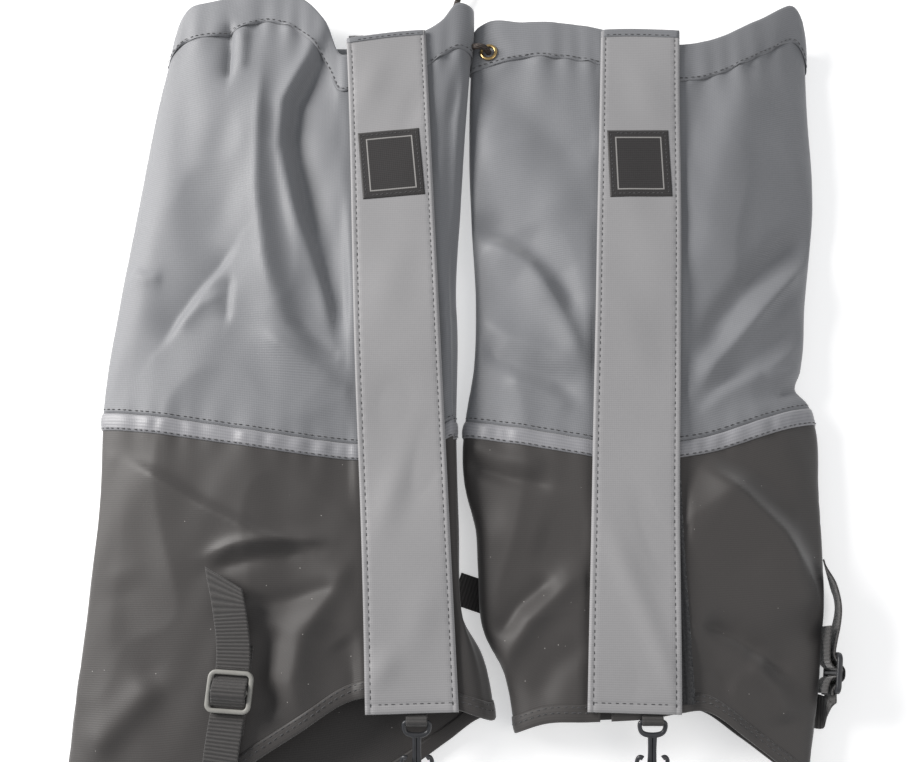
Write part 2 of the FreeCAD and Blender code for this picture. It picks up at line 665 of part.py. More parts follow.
def build_anchor_tab(side):
    frame = buckle_frame(side)
    width = size("strap_width")
    outside = ring_outside(size("centre_bar") / 2.0, "anchor_thickness")
    height = size("buckle_height")
    ring = "dims.centre_bar / 2 + dims.bar_clearance + dims.anchor_thickness"
    below = side.name + "_anchor_below"
    strip = box_at(side.node("anchor_strip"), frame, Vector(-width / 2.0, -size(below), 0),
                   Length="dims.strap_width", Width="dims.anchor_above + dims." + below,
                   Height="dims.anchor_thickness")
    post = box_at(side.node("anchor_post"), frame, Vector(-width / 2.0, -outside, 0),
                  Length="dims.strap_width", Width="2 * (%s)" % ring, Height="dims.buckle_height")
    loop = rod_at(side.node("anchor_loop"), frame, Vector(-width / 2.0, 0, height), ring, "dims.strap_width")
    hole = rod_at(side.node("anchor_hole"), frame, Vector(-width / 2.0 - 1.0, 0, height),
                  "dims.centre_bar / 2 + dims.bar_clearance", "dims.strap_width + 2")
    joined = boolean("Fuse", side.node("anchor_legs"), strip, post)
    whole = boolean("Fuse", side.node("anchor_whole"), joined, loop)
    publish(boolean("Cut", side.node("anchor"), whole, hole), side.node("anchor_tab"))


def build_buckle(side):
    """Moulded slide: a rounded frame with one round bar across its middle."""
    body = doc.addObject("PartDesign::Body", side.node("buckle_body"))
    window_width = "(dims.strap_width + 2 * dims.strap_side_play)"
    outline = attach(body, side.node("buckle_outline"), "XY_Plane")
    centred_rectangle(outline, window_width + " + 2 * dims.buckle_bar", "dims.buckle_length")
    plate = pad(body, outline, side.node("buckle_plate"), "dims.buckle_thickness", midplane=True)
    rounded = fillet(body, plate, side.node("buckle_corners"), "dims.buckle_bar", upright)
    window = attach(body, side.node("buckle_window"), "XY_Plane")
    centred_rectangle(window, window_width, "dims.buckle_length - 2 * dims.buckle_bar")
    slot = body.newObject("PartDesign::Pocket", side.node("buckle_slot"))
    slot.Profile = window
    slot.Type = "ThroughAll"
    slot.Midplane = True
    doc.recompute()
    assert slot.Shape.Volume < rounded.Shape.Volume
    bar = attach(body, side.node("buckle_bar_section"), "YZ_Plane")
    circle = bar.addGeometry(Part.Circle(Vector(0, 0, 0), Vector(0, 0, 1), 1.0), False)
    bar.addConstraint(Sketcher.Constraint("Coincident", circle, 3, -1, 1))
    radius = bar.addConstraint(Sketcher.Constraint("Radius", circle, 1.0))
    bar.setExpression("Constraints[%d]" % radius, "dims.centre_bar / 2")
    pad(body, bar, side.node("buckle_middle_bar"), window_width + " + dims.buckle_bar", midplane=True)
    frame = buckle_frame(side)
    body.Placement = frame.multiply(Placement(Vector(0, 0, size("buckle_height")), Rotation()))
    publish(body, side.node("buckle"))


def strap_low():
    """Height of the strap's underside where it passes under the buckle's end bars."""
    return size("buckle_height") - size("buckle_thickness") / 2.0 - size("strap_under_bar") - size("strap_thickness")


def woven_half():
    """Half the length of the strap's stretch through the buckle."""
    return size("buckle_length") / 2.0 + size("strap_past_buckle")


def build_strap_in_buckle(side):
    """The strap's woven stretch: under one end bar, over the middle one, under the other."""
    frame = buckle_frame(side)
    half = woven_half()
    low = strap_low()
    thick = size("strap_thickness")
    ring = ring_outside(size("centre_bar") / 2.0, "anchor_thickness")
    crest = size("buckle_height") + ring + size("strap_crest_gap")
    inner = half - size("buckle_bar") - size("strap_bar_gap")
    top = size("strap_crest")
    under = [(-half, low), (-inner, low), (-top, crest), (top, crest), (inner, low), (half, low)]
    # The upper face turns half a thickness sooner at each bend.
    foot_turn, top_turn = inner - thick / 2.0, top - thick / 2.0
    over = [(half, low + thick), (foot_turn, low + thick), (top_turn, crest + thick),
            (-top_turn, crest + thick), (-foot_turn, low + thick), (-half, low + thick)]
    width = size("strap_width")
    points = [Vector(-width / 2.0, a, n) for a, n in under + over]
    face = Part.Face(Part.makePolygon(points + points[:1]))
    solid = face.extrude(Vector(width, 0, 0))
    woven = feature(solid, side.node("strap_woven"))
    woven.Placement = frame
    publish(woven, side.node("strap_in_buckle"))


def tail_axis(side):
    """Where the strap's free end turns: just past the buckle's top bar."""
    along = woven_half() + size("strap_gap") + size("strap_thickness") / 2.0
    frame = buckle_frame(side)
    return frame.multVec(Vector(0, along, strap_low() + size("strap_thickness") / 2.0))


def build_strap_tail(side):
    frame = buckle_frame(side)
    radius = size("strap_thickness") / 2.0
    start = woven_half() + size("strap_gap") + radius
    low = strap_low()
    half = size("strap_width") / 2.0
    end = start + size("tail_length")
    slant = size("tail_slant")
    corners = [Vector(-half, start, low), Vector(half, start, low), Vector(half, end - slant, low),
               Vector(-half, end, low)]
    strip = Part.Face(Part.makePolygon(corners + corners[:1])).extrude(Vector(0, 0, 2.0 * radius))
    root = Part.makeCylinder(radius, 2.0 * half, Vector(-half, start, low + radius), Vector(1, 0, 0))
    tail = feature(strip.fuse(root).removeSplitter(), side.node("strap_end"))
    tail.Placement = frame
    publish(tail, side.node("strap_tail"))


def ribbon(stations, width, thickness):
    """Flat webbing through (point, width direction, face direction) stations."""
    rings = []
    for point, across, face in stations:
        across = across.normalize() * (width / 2.0)
        face = face.normalize() * (thickness / 2.0)
        rings.append([point - across + face, point + across + face, point + across - face, point - across - face])
    faces = [Part.Face(Part.makePolygon(ring + ring[:1])) for ring in (rings[0], rings[-1])]
    for near, far in zip(rings, rings[1:]):
        for i in range(4):
            following = (i + 1) % 4
            first = Part.makeLine(near[i], near[following])
            second = Part.makeLine(far[i], far[following])
            faces.append(Part.makeRuledSurface(first, second))
    shell = Part.makeShell(faces)
    shell.sewShape()
    solid = Part.makeSolid(shell)
    if solid.Volume < 0:
        solid.reverse()
    return solid


def strap_stations(side):
    """The strap from the buckle past the foot hem, under it and back below the sleeve."""
    frame = buckle_frame(side)
    thick = size("strap_thickness")
    centre = strap_low() + thick / 2.0
    start = -(woven_half() + size("strap_gap"))
    foot = size("foot_y")
    floor = size("pressed_flat") + thick / 2.0
    first = frame.multVec(Vector(0, start, centre))
    across = frame.Rotation.multVec(Vector(1, 0, 0))
    outward = frame.Rotation.multVec(Vector(0, 0, 1))
    if side is LEFT:
        # Down over the foot hem, round below it and back under the sleeve, each point
        # placed from the buckle's end, the foot line and the floor.
        x = first.x
        return [
            (first, across, outward),
            (Vector(x - 2.5, foot + 22.0, first.z), Vector(0.99, -0.14, 0), Vector(0, 0, 1)),
            (Vector(x - 4.0, foot - 4.0, first.z - 1.5), Vector(0.99, -0.12, 0), Vector(0, -0.25, 1)),
            (Vector(x - 3.5, foot - 14.0, first.z - 8.0), Vector(0.98, -0.18, 0), Vector(0, -1.2, 1)),
            (Vector(x - 1.0, foot - 17.0, first.z - 17.0), Vector(0.96, -0.28, 0), Vector(-0.3, -1, -0.1)),
            (Vector(x + 4.0, foot - 11.0, floor + 3.0), Vector(0.90, -0.42, 0.0), Vector(-0.4, -0.8, -1.4)),
            (Vector(x + 14.0, foot + 2.0, floor), Vector(0.84, -0.54, 0), Vector(0, 0, -1)),
            (Vector(x + 40.0, foot + 34.0, floor), Vector(0.78, -0.62, 0), Vector(0, 0, -1)),
            (Vector(x + 76.0, foot + 76.0, floor), Vector(0.76, -0.65, 0), Vector(0, 0, -1)),
        ]
    # Folded down over itself on the side, then wrapped under the sleeve.
    half = size("strap_width") / 2.0
    behind = frame.multVec(Vector(0, start - half, centre - thick))
    fold = behind.x
    y = behind.y
    end_x = side.x(-side.reach("ankle", "inner"))
    end_y = size("ankle_y") - 3.0
    slant = math.atan2(end_y - y, fold - end_x)
    level = Vector(math.sin(slant), math.cos(slant), 0)
    along = frame.Rotation.multVec(Vector(0, 1, 0))
    up = Vector(0, 0, 1)
    return [
        (Vector(fold, y, behind.z + half), along, outward * -1.0),
        (Vector(fold, y, behind.z - 5.0), along, outward * -1.0),
        (Vector(fold - 0.2, y + 0.3, 3.4), along, Vector(-0.85, 0, 0.5)),
        (Vector(fold - 4.2, y + 1.4, 1.0), Vector(0.2, 1, 0), Vector(-0.3, 0, 0.95)),
        (Vector(fold - 10.5, y + 3.2, floor), level, up),
        (Vector(end_x - 4.0, end_y, floor), level, up),
    ]


def build_instep_strap(side):
    width = size("strap_width")
    thick = size("strap_thickness")
    strap = ribbon(strap_stations(side), width, thick)
    if side is RIGHT:
        # The stretch between the buckle and the diagonal fold, standing on its edge.
        start = -(woven_half() + size("strap_gap"))
        outline = [Vector(-width / 2.0, start, 0), Vector(width / 2.0, start, 0),
                   Vector(width / 2.0, start - 1.0, 0), Vector(-width / 2.0, start - width, 0)]
        standing = Part.Face(Part.makePolygon(outline + outline[:1])).extrude(Vector(0, 0, thick))
        standing.Placement = buckle_frame(side).multiply(Placement(Vector(0, 0, strap_low()), Rotation()))
        strap = strap.fuse(standing).removeSplitter()
    publish(feature(strap, side.node("instep_strap_shape")), side.node("instep_strap"))


# ---- free end of the right gaiter's drawcord, with its lock ------------------------------

def cord_route():
    """Middle line of the free cord, from inside the eyelet to its knot.

    It stands up out of the eyelet, drops over the hem's edge to the floor, runs up
    alongside the other gaiter, and rises to the middle of the cord lock.
    """
    frame = eyelet_frame(RIGHT)
    exit_point = frame.multVec(Vector(0, 0, -3.0))
    floor = size("cord_diameter") / 2.0
    lock = size("lock_radius")
    x = exit_point.x
    y = exit_point.y
    z = exit_point.z
    return [
        exit_point,
        frame.multVec(Vector(-0.2, 0.3, 6.0)),
        Vector(x - 9.6, y + 2.0, z + 8.8),
        Vector(x - 16.9, y + 7.0, z - 5.5),
        Vector(x - 19.5, y + 16.0, floor + 0.5),
        Vector(x - 19.5, y + 29.0, floor),
        Vector(x - 17.0, y + 41.0, floor + 1.2),
        Vector(x - 14.5, y + 55.0, lock),
        Vector(x - 12.2, y + 82.0, lock),
        Vector(x - 9.0, y + 95.5, lock - 1.0),
    ]


def rounded_route(points):
    """Straight runs joined by tangent arcs, and the radius of each arc."""
    edges = []
    radii = []
    previous = points[0]
    for before, corner, after in zip(points, points[1:], points[2:]):
        back = before - corner
        ahead = after - corner
        shorter = min(back.Length, ahead.Length)
        turn = math.pi - back.getAngle(ahead)
        radius = 0.45 * shorter / math.tan(turn / 2.0)
        trim = 0.45 * shorter
        start = corner + back.normalize() * trim
        end = corner + ahead.normalize() * trim
        bisector = (back + ahead).normalize()
        middle = corner + bisector * (radius / math.cos(turn / 2.0) - radius)
        edges.append(Part.LineSegment(previous, start).toShape())
        edges.append(Part.Arc(start, middle, end).toShape())
        radii.append(round(radius, 1))
        previous = end
    edges.append(Part.LineSegment(previous, points[-1]).toShape())
    return Part.Wire(edges), radii


def lock_frame():
    """Placement of the cord lock: +Z along its plunger, local Y along the cord."""
    route = cord_route()
    start = route[-3]
    end = route[-2]
    along = (end - start).normalize()
    out = along.cross(Vector(0, 0, 1))
    rotation = Rotation(Vector(0, 0, 1).cross(out) * -1.0, along, out, "ZYX")
    return Placement(start + (end - start) * 0.42, rotation)


def build_free_cord():
    path, radii = rounded_route(cord_route())
    start = path.Edges[0].valueAt(path.Edges[0].FirstParameter)
    direction = path.Edges[0].tangentAt(path.Edges[0].FirstParameter)
    radius = size("cord_diameter") / 2.0
    circle = Part.Wire(Part.makeCircle(radius, start, direction))
    tube = path.makePipeShell([circle], True, False)
    expected = math.pi * radius ** 2 * path.Length
    print("cord arc radii", radii, "length", round(path.Length, 1), "volume share", round(tube.Volume / expected, 4))
    cord = publish(feature(tube, "right_cord_tube"), "right_free_cord")

    knot_ball = doc.addObject("Part::Sphere", "knot_ball")
    bind(knot_ball, Radius="dims.knot_radius")
    points = cord_route()
    back = (points[-2] - points[-1]).normalize()
    knot_ball.Placement = Placement(points[-1] - back * (size("knot_radius") * 0.35), Rotation())
    knot = boolean("Cut", "knot", knot_ball, cord)
    publish(knot, "cord_knot")


def build_cord_lock():
    frame = lock_frame()
    low = -size("lock_below_cord")

    def cylinder(name, radius_expression, height_expression, start, turn=Rotation()):
        thing = doc.addObject("Part::Cylinder", name)
        bind(thing, Radius=radius_expression, Height=height_expression)
        thing.Placement = frame.multiply(Placement(start, turn))
        return thing

    along_cord = Rotation(Vector(1, 0, 0), -90)
    barrel = cylinder("lock_barrel", "dims.lock_radius", "dims.lock_length", Vector(0, 0, low))
    bore = cylinder("lock_bore_tool", "dims.lock_bore", "dims.lock_length", Vector(0, 0, low + size("lock_floor")))
    reach = size("lock_radius") + 2.0
    cross = cylinder("lock_cross_tool", "dims.cord_hole / 2", "2 * dims.lock_radius + 4",
                     Vector(0, -reach, 0), along_cord)
    hollow = boolean("Cut", "lock_hollow", barrel, bore)
    publish(boolean("Cut", "lock_body", hollow, cross), "cord_lock_body")

    # The plunger's slot is long enough for its travel past the cord.
    travel = size("plunger_travel")
    plunger_low = -size("plunger_below_cord")
    rod = cylinder("plunger_rod", "dims.plunger_radius", "dims.plunger_length", Vector(0, 0, plunger_low))
    first = cylinder("slot_low", "dims.cord_hole / 2", "2 * dims.lock_radius + 4", Vector(0, -reach, 0), along_cord)
    second = cylinder("slot_high", "dims.cord_hole / 2", "2 * dims.lock_radius + 4",
                      Vector(0, -reach, travel), along_cord)
    between = doc.addObject("Part::Box", "slot_middle")
    bind(between, Length="dims.cord_hole", Width="2 * dims.lock_radius + 4", Height="dims.plunger_travel")
    between.Placement = frame.multiply(Placement(Vector(-size("cord_hole") / 2.0, -reach, 0), Rotation()))
    slot_ends = boolean("Fuse", "slot_ends", first, second)
    slot = boolean("Fuse", "slot", slot_ends, between)
    publish(boolean("Cut", "plunger", rod, slot), "cord_lock_plunger")

    wire = size("spring_wire")
    spring_low = low + size("lock_floor") + wire
    spring_high = plunger_low - wire
    rise = spring_high - spring_low
    helix = Part.makeHelix(rise / size("spring_turns"), rise, size("spring_radius"))
    section = Part.Wire(Part.makeCircle(wire / 2.0, Vector(size("spring_radius"), 0, 0), Vector(0, 1, 0)))
    coil = Part.Wire(helix.Edges).makePipeShell([section], True, True)
    spring = feature(coil, "lock_coil")
    spring.Placement = frame.multiply(Placement(Vector(0, 0, spring_low), Rotation()))
    publish(spring, "cord_lock_spring")


# ---- the pair -------------------------------------------------------------------------

for gaiter in (LEFT, RIGHT):
    build_sleeve(gaiter)
    build_flap(gaiter)
    build_hook_tab(gaiter)
    build_lace_hook(gaiter)
    build_anchor_tab(gaiter)
    build_buckle(gaiter)
    build_strap_in_buckle(gaiter)
    build_strap_tail(gaiter)
    build_instep_strap(gaiter)
build_free_cord()
build_cord_lock()
doc.recompute()

# The origin is the middle of the pair's outline, on the surface it lies on,
# without the free cord and what is on it.
ON_CORD = ("right_free_cord", "cord_knot", "cord_lock_body", "cord_lock_plunger", "cord_lock_spring")
outline = FreeCAD.BoundBox()
for node in NODES:
    if node.Label not in ON_CORD:
        outline.add(node.Shape.optimalBoundingBox(False, False))
shift = Vector(-outline.Center.x, -outline.Center.y, -outline.ZMin)

for thing in doc.Objects:
    if thing.State and ("Invalid" in thing.State or "Error" in thing.State):
        raise RuntimeError("%s: %s" % (thing.Name, thing.State))

os.makedirs("parts", exist_ok=True)
for node in NODES:
    shape = node.Shape.copy()
    if shape.isNull() or not shape.isValid() or not shape.Solids:
        raise RuntimeError("bad shape: " + node.Label)
    shape.translate(shift)
    shape.exportStep("parts/%s.step" % node.Label)
print(len(NODES), "nodes, shift", [round(v, 3) for v in shift])


def fact(vector):
    return [round(value, 4) for value in vector]


lock = lock_frame()
print("lock", fact(lock.Base + shift), fact(lock.Rotation.multVec(Vector(0, 1, 0))),
      fact(lock.Rotation.multVec(Vector(0, 0, 1))))
for gaiter in (LEFT, RIGHT):
    hinge = flap_frame(gaiter, 0.0, 0.0, bead_height())
    buckle = buckle_frame(gaiter)
    pivot = buckle.multVec(Vector(0, 0, size("buckle_height")))
    print(gaiter.name, "flap", fact(hinge.Base + shift), fact(hinge.Rotation.multVec(Vector(0, 1, 0))),
          "hook", fact(hook_axis(gaiter) + shift), "buckle", fact(pivot + shift),
          fact(buckle.Rotation.multVec(Vector(1, 0, 0))), "tail", fact(tail_axis(gaiter) + shift))
print("cord", [fact(point + shift) for point in cord_route()])
for gaiter in (LEFT, RIGHT):
    print(gaiter.name, "strap", [fact(station[0] + shift) for station in strap_stations(gaiter)])
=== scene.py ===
import json
import math

import bpy
import numpy as np
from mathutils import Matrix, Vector


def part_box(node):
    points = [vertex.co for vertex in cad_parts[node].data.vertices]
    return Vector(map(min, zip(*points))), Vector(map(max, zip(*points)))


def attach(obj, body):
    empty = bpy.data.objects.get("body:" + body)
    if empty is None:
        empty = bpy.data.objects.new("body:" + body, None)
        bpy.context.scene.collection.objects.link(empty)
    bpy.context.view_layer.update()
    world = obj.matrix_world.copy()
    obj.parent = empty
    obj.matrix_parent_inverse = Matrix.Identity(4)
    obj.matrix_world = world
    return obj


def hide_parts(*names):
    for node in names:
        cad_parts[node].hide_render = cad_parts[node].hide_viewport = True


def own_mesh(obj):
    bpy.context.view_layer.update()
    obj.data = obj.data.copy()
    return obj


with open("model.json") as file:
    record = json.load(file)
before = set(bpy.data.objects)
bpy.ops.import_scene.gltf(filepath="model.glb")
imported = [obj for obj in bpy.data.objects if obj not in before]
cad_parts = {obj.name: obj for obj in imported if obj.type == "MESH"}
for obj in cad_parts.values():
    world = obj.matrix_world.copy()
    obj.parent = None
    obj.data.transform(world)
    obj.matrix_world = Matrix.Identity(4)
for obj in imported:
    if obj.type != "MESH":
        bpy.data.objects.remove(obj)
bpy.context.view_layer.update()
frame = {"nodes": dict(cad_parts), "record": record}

# ---- Table, light and camera -----------------------------------------------------------
# The gaiters lie on their backs on a pale table. Soft light from a large window on the
# knee side and a bright room; the camera looks down at them, leaning towards the foot end.

aim = Vector((-0.0064, 0.0156, 0.0))
camera_height = 0.6568
camera_back = 0.176

table_mesh = bpy.data.meshes.new("table")
table_reach, table_top = 3, -0.0012
table_corners = [(x * table_reach, y * table_reach, table_top)
                 for x, y in ((-1, -1), (1, -1), (1, 1), (-1, 1))]
table_mesh.from_pydata(table_corners, [], [(0, 1, 2, 3)])
table = bpy.data.objects.new("table", table_mesh)
bpy.context.scene.collection.objects.link(table)
table_paint = bpy.data.materials.new("pale table")
table_paint.use_nodes = True
table_shader = table_paint.node_tree.nodes["Principled BSDF"]
table_shader.inputs["Base Color"].default_value = (0.9, 0.9, 0.9, 1)
table_shader.inputs["Roughness"].default_value = 0.7
table_shader.inputs["Emission Color"].default_value = (1, 1, 1, 1)
table_shader.inputs["Emission Strength"].default_value = 0.42
table_mesh.materials.append(table_paint)

room = bpy.data.worlds.new("bright room")
room.use_nodes = True
room.node_tree.nodes["Background"].inputs["Color"].default_value = (0.93, 0.96, 1.0, 1)
room.node_tree.nodes["Background"].inputs["Strength"].default_value = 0.42
bpy.context.scene.world = room


def window_light(name, place, size_m, power, colour):
    light = bpy.data.lights.new(name, "AREA")
    light.shape = "RECTANGLE"
    light.size, light.size_y = size_m
    light.energy = power
    light.color = colour
    lamp = bpy.data.objects.new(name, light)
    lamp.location = place
    lamp.rotation_euler = (aim - Vector(place)).to_track_quat("-Z", "Y").to_euler()
    bpy.context.scene.collection.objects.link(lamp)


window_light("window", (-1.35, 0.55, 0.72), (0.8, 0.6), 36, (1.0, 0.98, 0.96))
window_light("room_wall", (1.3, -0.6, 1.3), (1.3, 1.3), 8, (1.0, 0.96, 0.92))

lens = bpy.data.cameras.new("camera")
lens.sensor_width = 36
lens.lens = 41.86
camera = bpy.data.objects.new("camera", lens)
camera.location = (aim.x, aim.y - camera_back, camera_height)
camera.rotation_euler = (math.atan2(camera_back, camera_height), 0, 0)
bpy.context.scene.collection.objects.link(camera)
bpy.context.scene.camera = camera
bpy.context.scene.view_settings.view_transform = "Standard"

# ---- Upper and lower panels ------------------------------------------------------------
# Each gaiter is one wrapped sleeve, open down the front under its flap: ribbed grey nylon
# above, black coated cloth below. It is cut wide, so it lies in slack folds and pleats.


def joint(name):
    return next(entry for entry in frame["record"]["behaviour"]["joints"] if entry["name"] == name)


def smooth(value):
    value = np.clip(value, 0.0, 1.0)
    return value * value * (3 - 2 * value)


def curve(points):
    """A smooth one-valued curve through (place, value) points, in millimetres."""
    places, values = np.array(sorted(points), float).T
    slopes = np.gradient(values, places)

    def at(x):
        x = np.clip(np.asarray(x, float), places[0], places[-1])
        i = np.clip(np.searchsorted(places, x) - 1, 0, len(places) - 2)
        gap = places[i + 1] - places[i]
        t = (x - places[i]) / gap
        start = (1 + 2 * t) * (1 - t) ** 2 * values[i] + t * (1 - t) ** 2 * gap * slopes[i]
        return start + t * t * (3 - 2 * t) * values[i + 1] + t * t * (t - 1) * gap * slopes[i + 1]
    return at


def fold(line, width, height, far_width=None, power=2.0):
    """A ridge (or, with a negative height, a valley) along a line of (u, y) points.
    far_width is its width on the side to the right of the line's direction."""
    line = np.array(line, float)
    far_width = far_width or width

    def at(u, y):
        best = np.full(u.shape, 1e9)
        side = np.ones(u.shape)
        along = np.zeros(u.shape)
        lengths = np.hypot(*(line[1:] - line[:-1]).T)
        total = lengths.sum()
        before = 0.0
        for (u0, y0), (u1, y1), length in zip(line, line[1:], lengths):
            du, dy = (u1 - u0) / length, (y1 - y0) / length
            t = np.clip((u - u0) * du + (y - y0) * dy, 0, length)
            gap = np.hypot(u - u0 - t * du, y - y0 - t * dy)
            nearer = gap < best
            best = np.where(nearer, gap, best)
            side = np.where(nearer, np.sign((u - u0) * dy - (y - y0) * du), side)
            along = np.where(nearer, (before + t) / total, along)
            before += length
        reach = np.where(side > 0, far_width, width)
        ends = smooth(along / 0.22) * smooth((1 - along) / 0.22)
        return height * np.exp(-np.abs(best / reach) ** power) * (0.12 + 0.88 * ends)
    return at


class Gaiter:
    """One gaiter's own measures. u runs from the flap's sewn line towards its free edge."""

    def __init__(self, name, sign):
        self.name = name
        self.sign = sign
        hinge = joint(name + "_flap_open")
        self.x0 = hinge["pos_m"][0] * 1000
        self.y0 = hinge["pos_m"][1] * 1000
        self.lean = abs(hinge["axis"][0] / hinge["axis"][1])

    def place(self, u, y, z):
        """Millimetres on the gaiter to metres in the frame."""
        u, y, z = np.broadcast_arrays(np.asarray(u, float), np.asarray(y, float), np.asarray(z, float))
        return np.stack([self.x0 + self.sign * u, y + self.y0, z], -1) / 1000


LEFT = Gaiter("left", -1)
RIGHT = Gaiter("right", 1)

LEFT.inner = curve([(-247, -31), (-215, -26), (-196, -22), (-160, -13), (-91, -10), (-36, -8.5), (34, -9),
                    (48, -8.3), (110, -11), (152, -13.5), (212, -18), (262, -21)])
LEFT.outer = curve([(-247, 212), (-194, 211), (-138, 208.5), (-79, 207.5), (-28, 210.5), (48, 206),
                    (116, 199), (188, 191), (233, 183), (262, 178)])
RIGHT.inner = curve([(-247, -50), (-206, -56), (-160, -68.5), (-118, -71), (-97, -72), (-67, -79), (-48, -80),
                     (-26, -78), (6, -73), (48, -71.5), (100, -74), (152, -75.5), (218, -74), (262, -71)])
RIGHT.outer = curve([(-247, 115), (-227, 118.5), (-194, 124.5), (-178, 127), (-138, 133), (-79, 136),
                     (-38, 137.5), (-25, 134), (-15, 127.5), (-4, 131), (48, 138), (116, 149), (180, 151),
                     (249, 154), (262, 154)])

# Heights of the cloth on the front: the knee's inner fold stands higher on the left one.
LEFT.fold_z = curve([(-247, 11), (-29, 9), (60, 11), (180, 17), (262, 18.5)])
RIGHT.fold_z = curve([(-247, 11), (-29, 9), (262, 9)])

LEFT.folds = [
    fold([(124, 226), (121, 160), (117, 110), (110, 70), (98, 27), (72, -6), (58, -18)], 19, 6.0, 9),
    fold([(120, 214), (119, 120), (112, 74), (102, 36)], 4, 1.8, 3, 1.4),
    fold([(74, 240), (84, 212), (97, 184), (99, 160), (89, 112), (78, 75), (69, 45), (63, 14)],
         2.6, -7.0, 13, 1.5),
    fold([(82, 240), (92, 212), (105, 182), (106, 150), (95, 108), (84, 70)], 7, 4.4, 4, 1.6),
    fold([(144, 246), (142, 196)], 4.5, -5.0, 1.8, 1.3),
    fold([(134, 240), (133, 205)], 6, 2.2, 3),
    fold([(150, 236), (154, 170), (160, 120)], 14, 2.0),
    fold([(130, 84), (141, 68), (154, 52), (166, 34), (176, 16)], 12, -4.0, 2.2, 1.3),
    fold([(136, 50), (150, 44), (166, 26)], 3, 1.8, 5, 1.4),
    fold([(133, 62), (134, 30)], 6, -2.6, 1.8, 1.3),
    fold([(200, 68), (188, 62), (176, 62)], 6, 1.8, 3, 1.4),
    fold([(112, 24), (96, 14), (80, 2), (56, -12)], 4.5, 2.2, 3, 1.5),
    fold([(92, 34), (78, 20), (60, 6)], 4, -2.0, 3, 1.5),
    fold([(84, 100), (74, 60), (68, 20)], 6, 1.6),
    fold([(-13, 222), (-5, 170), (-3, 90), (-4, 30)], 4, -2.4, 3),
    fold([(-3, 40), (-10, 34)], 4, -2.0, 3, 1.4),
    fold([(0, -14), (-10, -18)], 4, -1.6, 3, 1.4),
    fold([(170, 150), (184, 90), (192, 20)], 16, 1.6),
    fold([(197, -52), (170, -66), (144, -82), (107, -100), (80, -108)], 16, 4.4, 4, 1.35),
    fold([(142, -114), (122, -107), (107, -104), (88, -103), (64, -104)], 2.8, 3.6, 4, 1.4),
    fold([(138, -121), (107, -113), (80, -110)], 5, -2.8, 3.4, 1.5),
    fold([(52, -112), (64, -134), (79, -158), (84, -184), (76, -206)], 11, 5.0, 7, 1.7),
    fold([(54, -128), (90, -138), (118, -142)], 6, -3.2, 8, 1.7),
    fold([(98, -150), (102, -180), (94, -206)], 9, -3.0, 7),
    fold([(160, -182), (180, -204), (200, -226)], 11, 3.0, 8),
    fold([(190, -120), (178, -160), (158, -190)], 12, -2.0),
    fold([(60, -160), (48, -176), (44, -190)], 8, -2.0),
]
RIGHT.folds = [
    fold([(-74, 214), (-54, 196), (-36, 179), (-14, 156), (4, 134)], 16, -3.4, 12),
    fold([(-74, 180), (-40, 140), (-8, 96)], 16, 2.4),
    fold([(-80, 108), (-56, 96), (-38, 86), (-20, 64), (-8, 26)], 11, -5.6, 8),
    fold([(-78, 90), (-56, 82), (-38, 70), (-22, 46), (-12, 20), (-5, -8)], 6, 5.4, 11, 1.6),
    fold([(-70, 28), (-60, 12), (-46, 4), (-24, -4), (-6, -22)], 6, -3.0, 5, 1.6),
    fold([(-74, 40), (-50, 22), (-30, 14), (-8, -4)], 7, 2.2, 5, 1.6),
    fold([(-56, -2), (-34, -12), (-12, -26)], 5, 2.0, 4, 1.6),
    fold([(112, 214), (94, 160), (80, 110), (70, 50)], 22, 5.6, 15),
    fold([(150, 100), (126, 82), (104, 62), (82, 36), (62, 6)], 12, -6.2, 8),
    fold([(142, 76), (120, 54), (96, 28), (74, 4), (60, -14)], 5, 5.6, 9, 1.6),
    fold([(134, 36), (108, 16), (82, -4), (60, -24)], 6, -2.2, 5, 1.6),
    fold([(132, 20), (106, 0), (80, -14), (60, -30)], 5, 2.0, 4, 1.6),
    fold([(136, -6), (124, -9), (112, -14)], 4, -3.6, 3, 1.4),
    fold([(136, 4), (122, 0), (104, -4)], 4, 1.8, 4),
    fold([(-80, -52), (-68, -60), (-52, -66), (-24, -72)], 5, -3.4, 4, 1.6),
    fold([(-80, -42), (-56, -54), (-28, -60)], 6, 2.2),
    fold([(-72, -100), (-54, -96), (-30, -104)], 12, 1.8),
    fold([(-64, -190), (-54, -168), (-42, -150), (-18, -128), (-4, -120)], 9, 4.4, 7, 1.7),
    fold([(-60, -160), (-48, -142), (-26, -124)], 6, -3.8, 5, 1.6),
    fold([(-40, -196), (-28, -176), (-8, -160)], 8, -1.8),
    fold([(58, -58), (84, -76), (108, -100), (124, -128), (132, -158)], 7, 10.5, 28, 1.6),
    fold([(58, -44), (90, -58), (122, -78)], 12, -2.4, 6, 1.7),
    fold([(124, -112), (130, -138), (128, -168)], 5, -3.4, 8, 1.7),
    fold([(56, -150), (76, -158), (94, -170), (110, -184)], 9, -5.2, 5, 1.6),
    fold([(82, -170), (98, -186), (106, -208)], 12, 4.0, 8, 1.8),
    fold([(62, -176), (74, -196), (92, -222)], 8, -2.4, 6, 1.7),
]

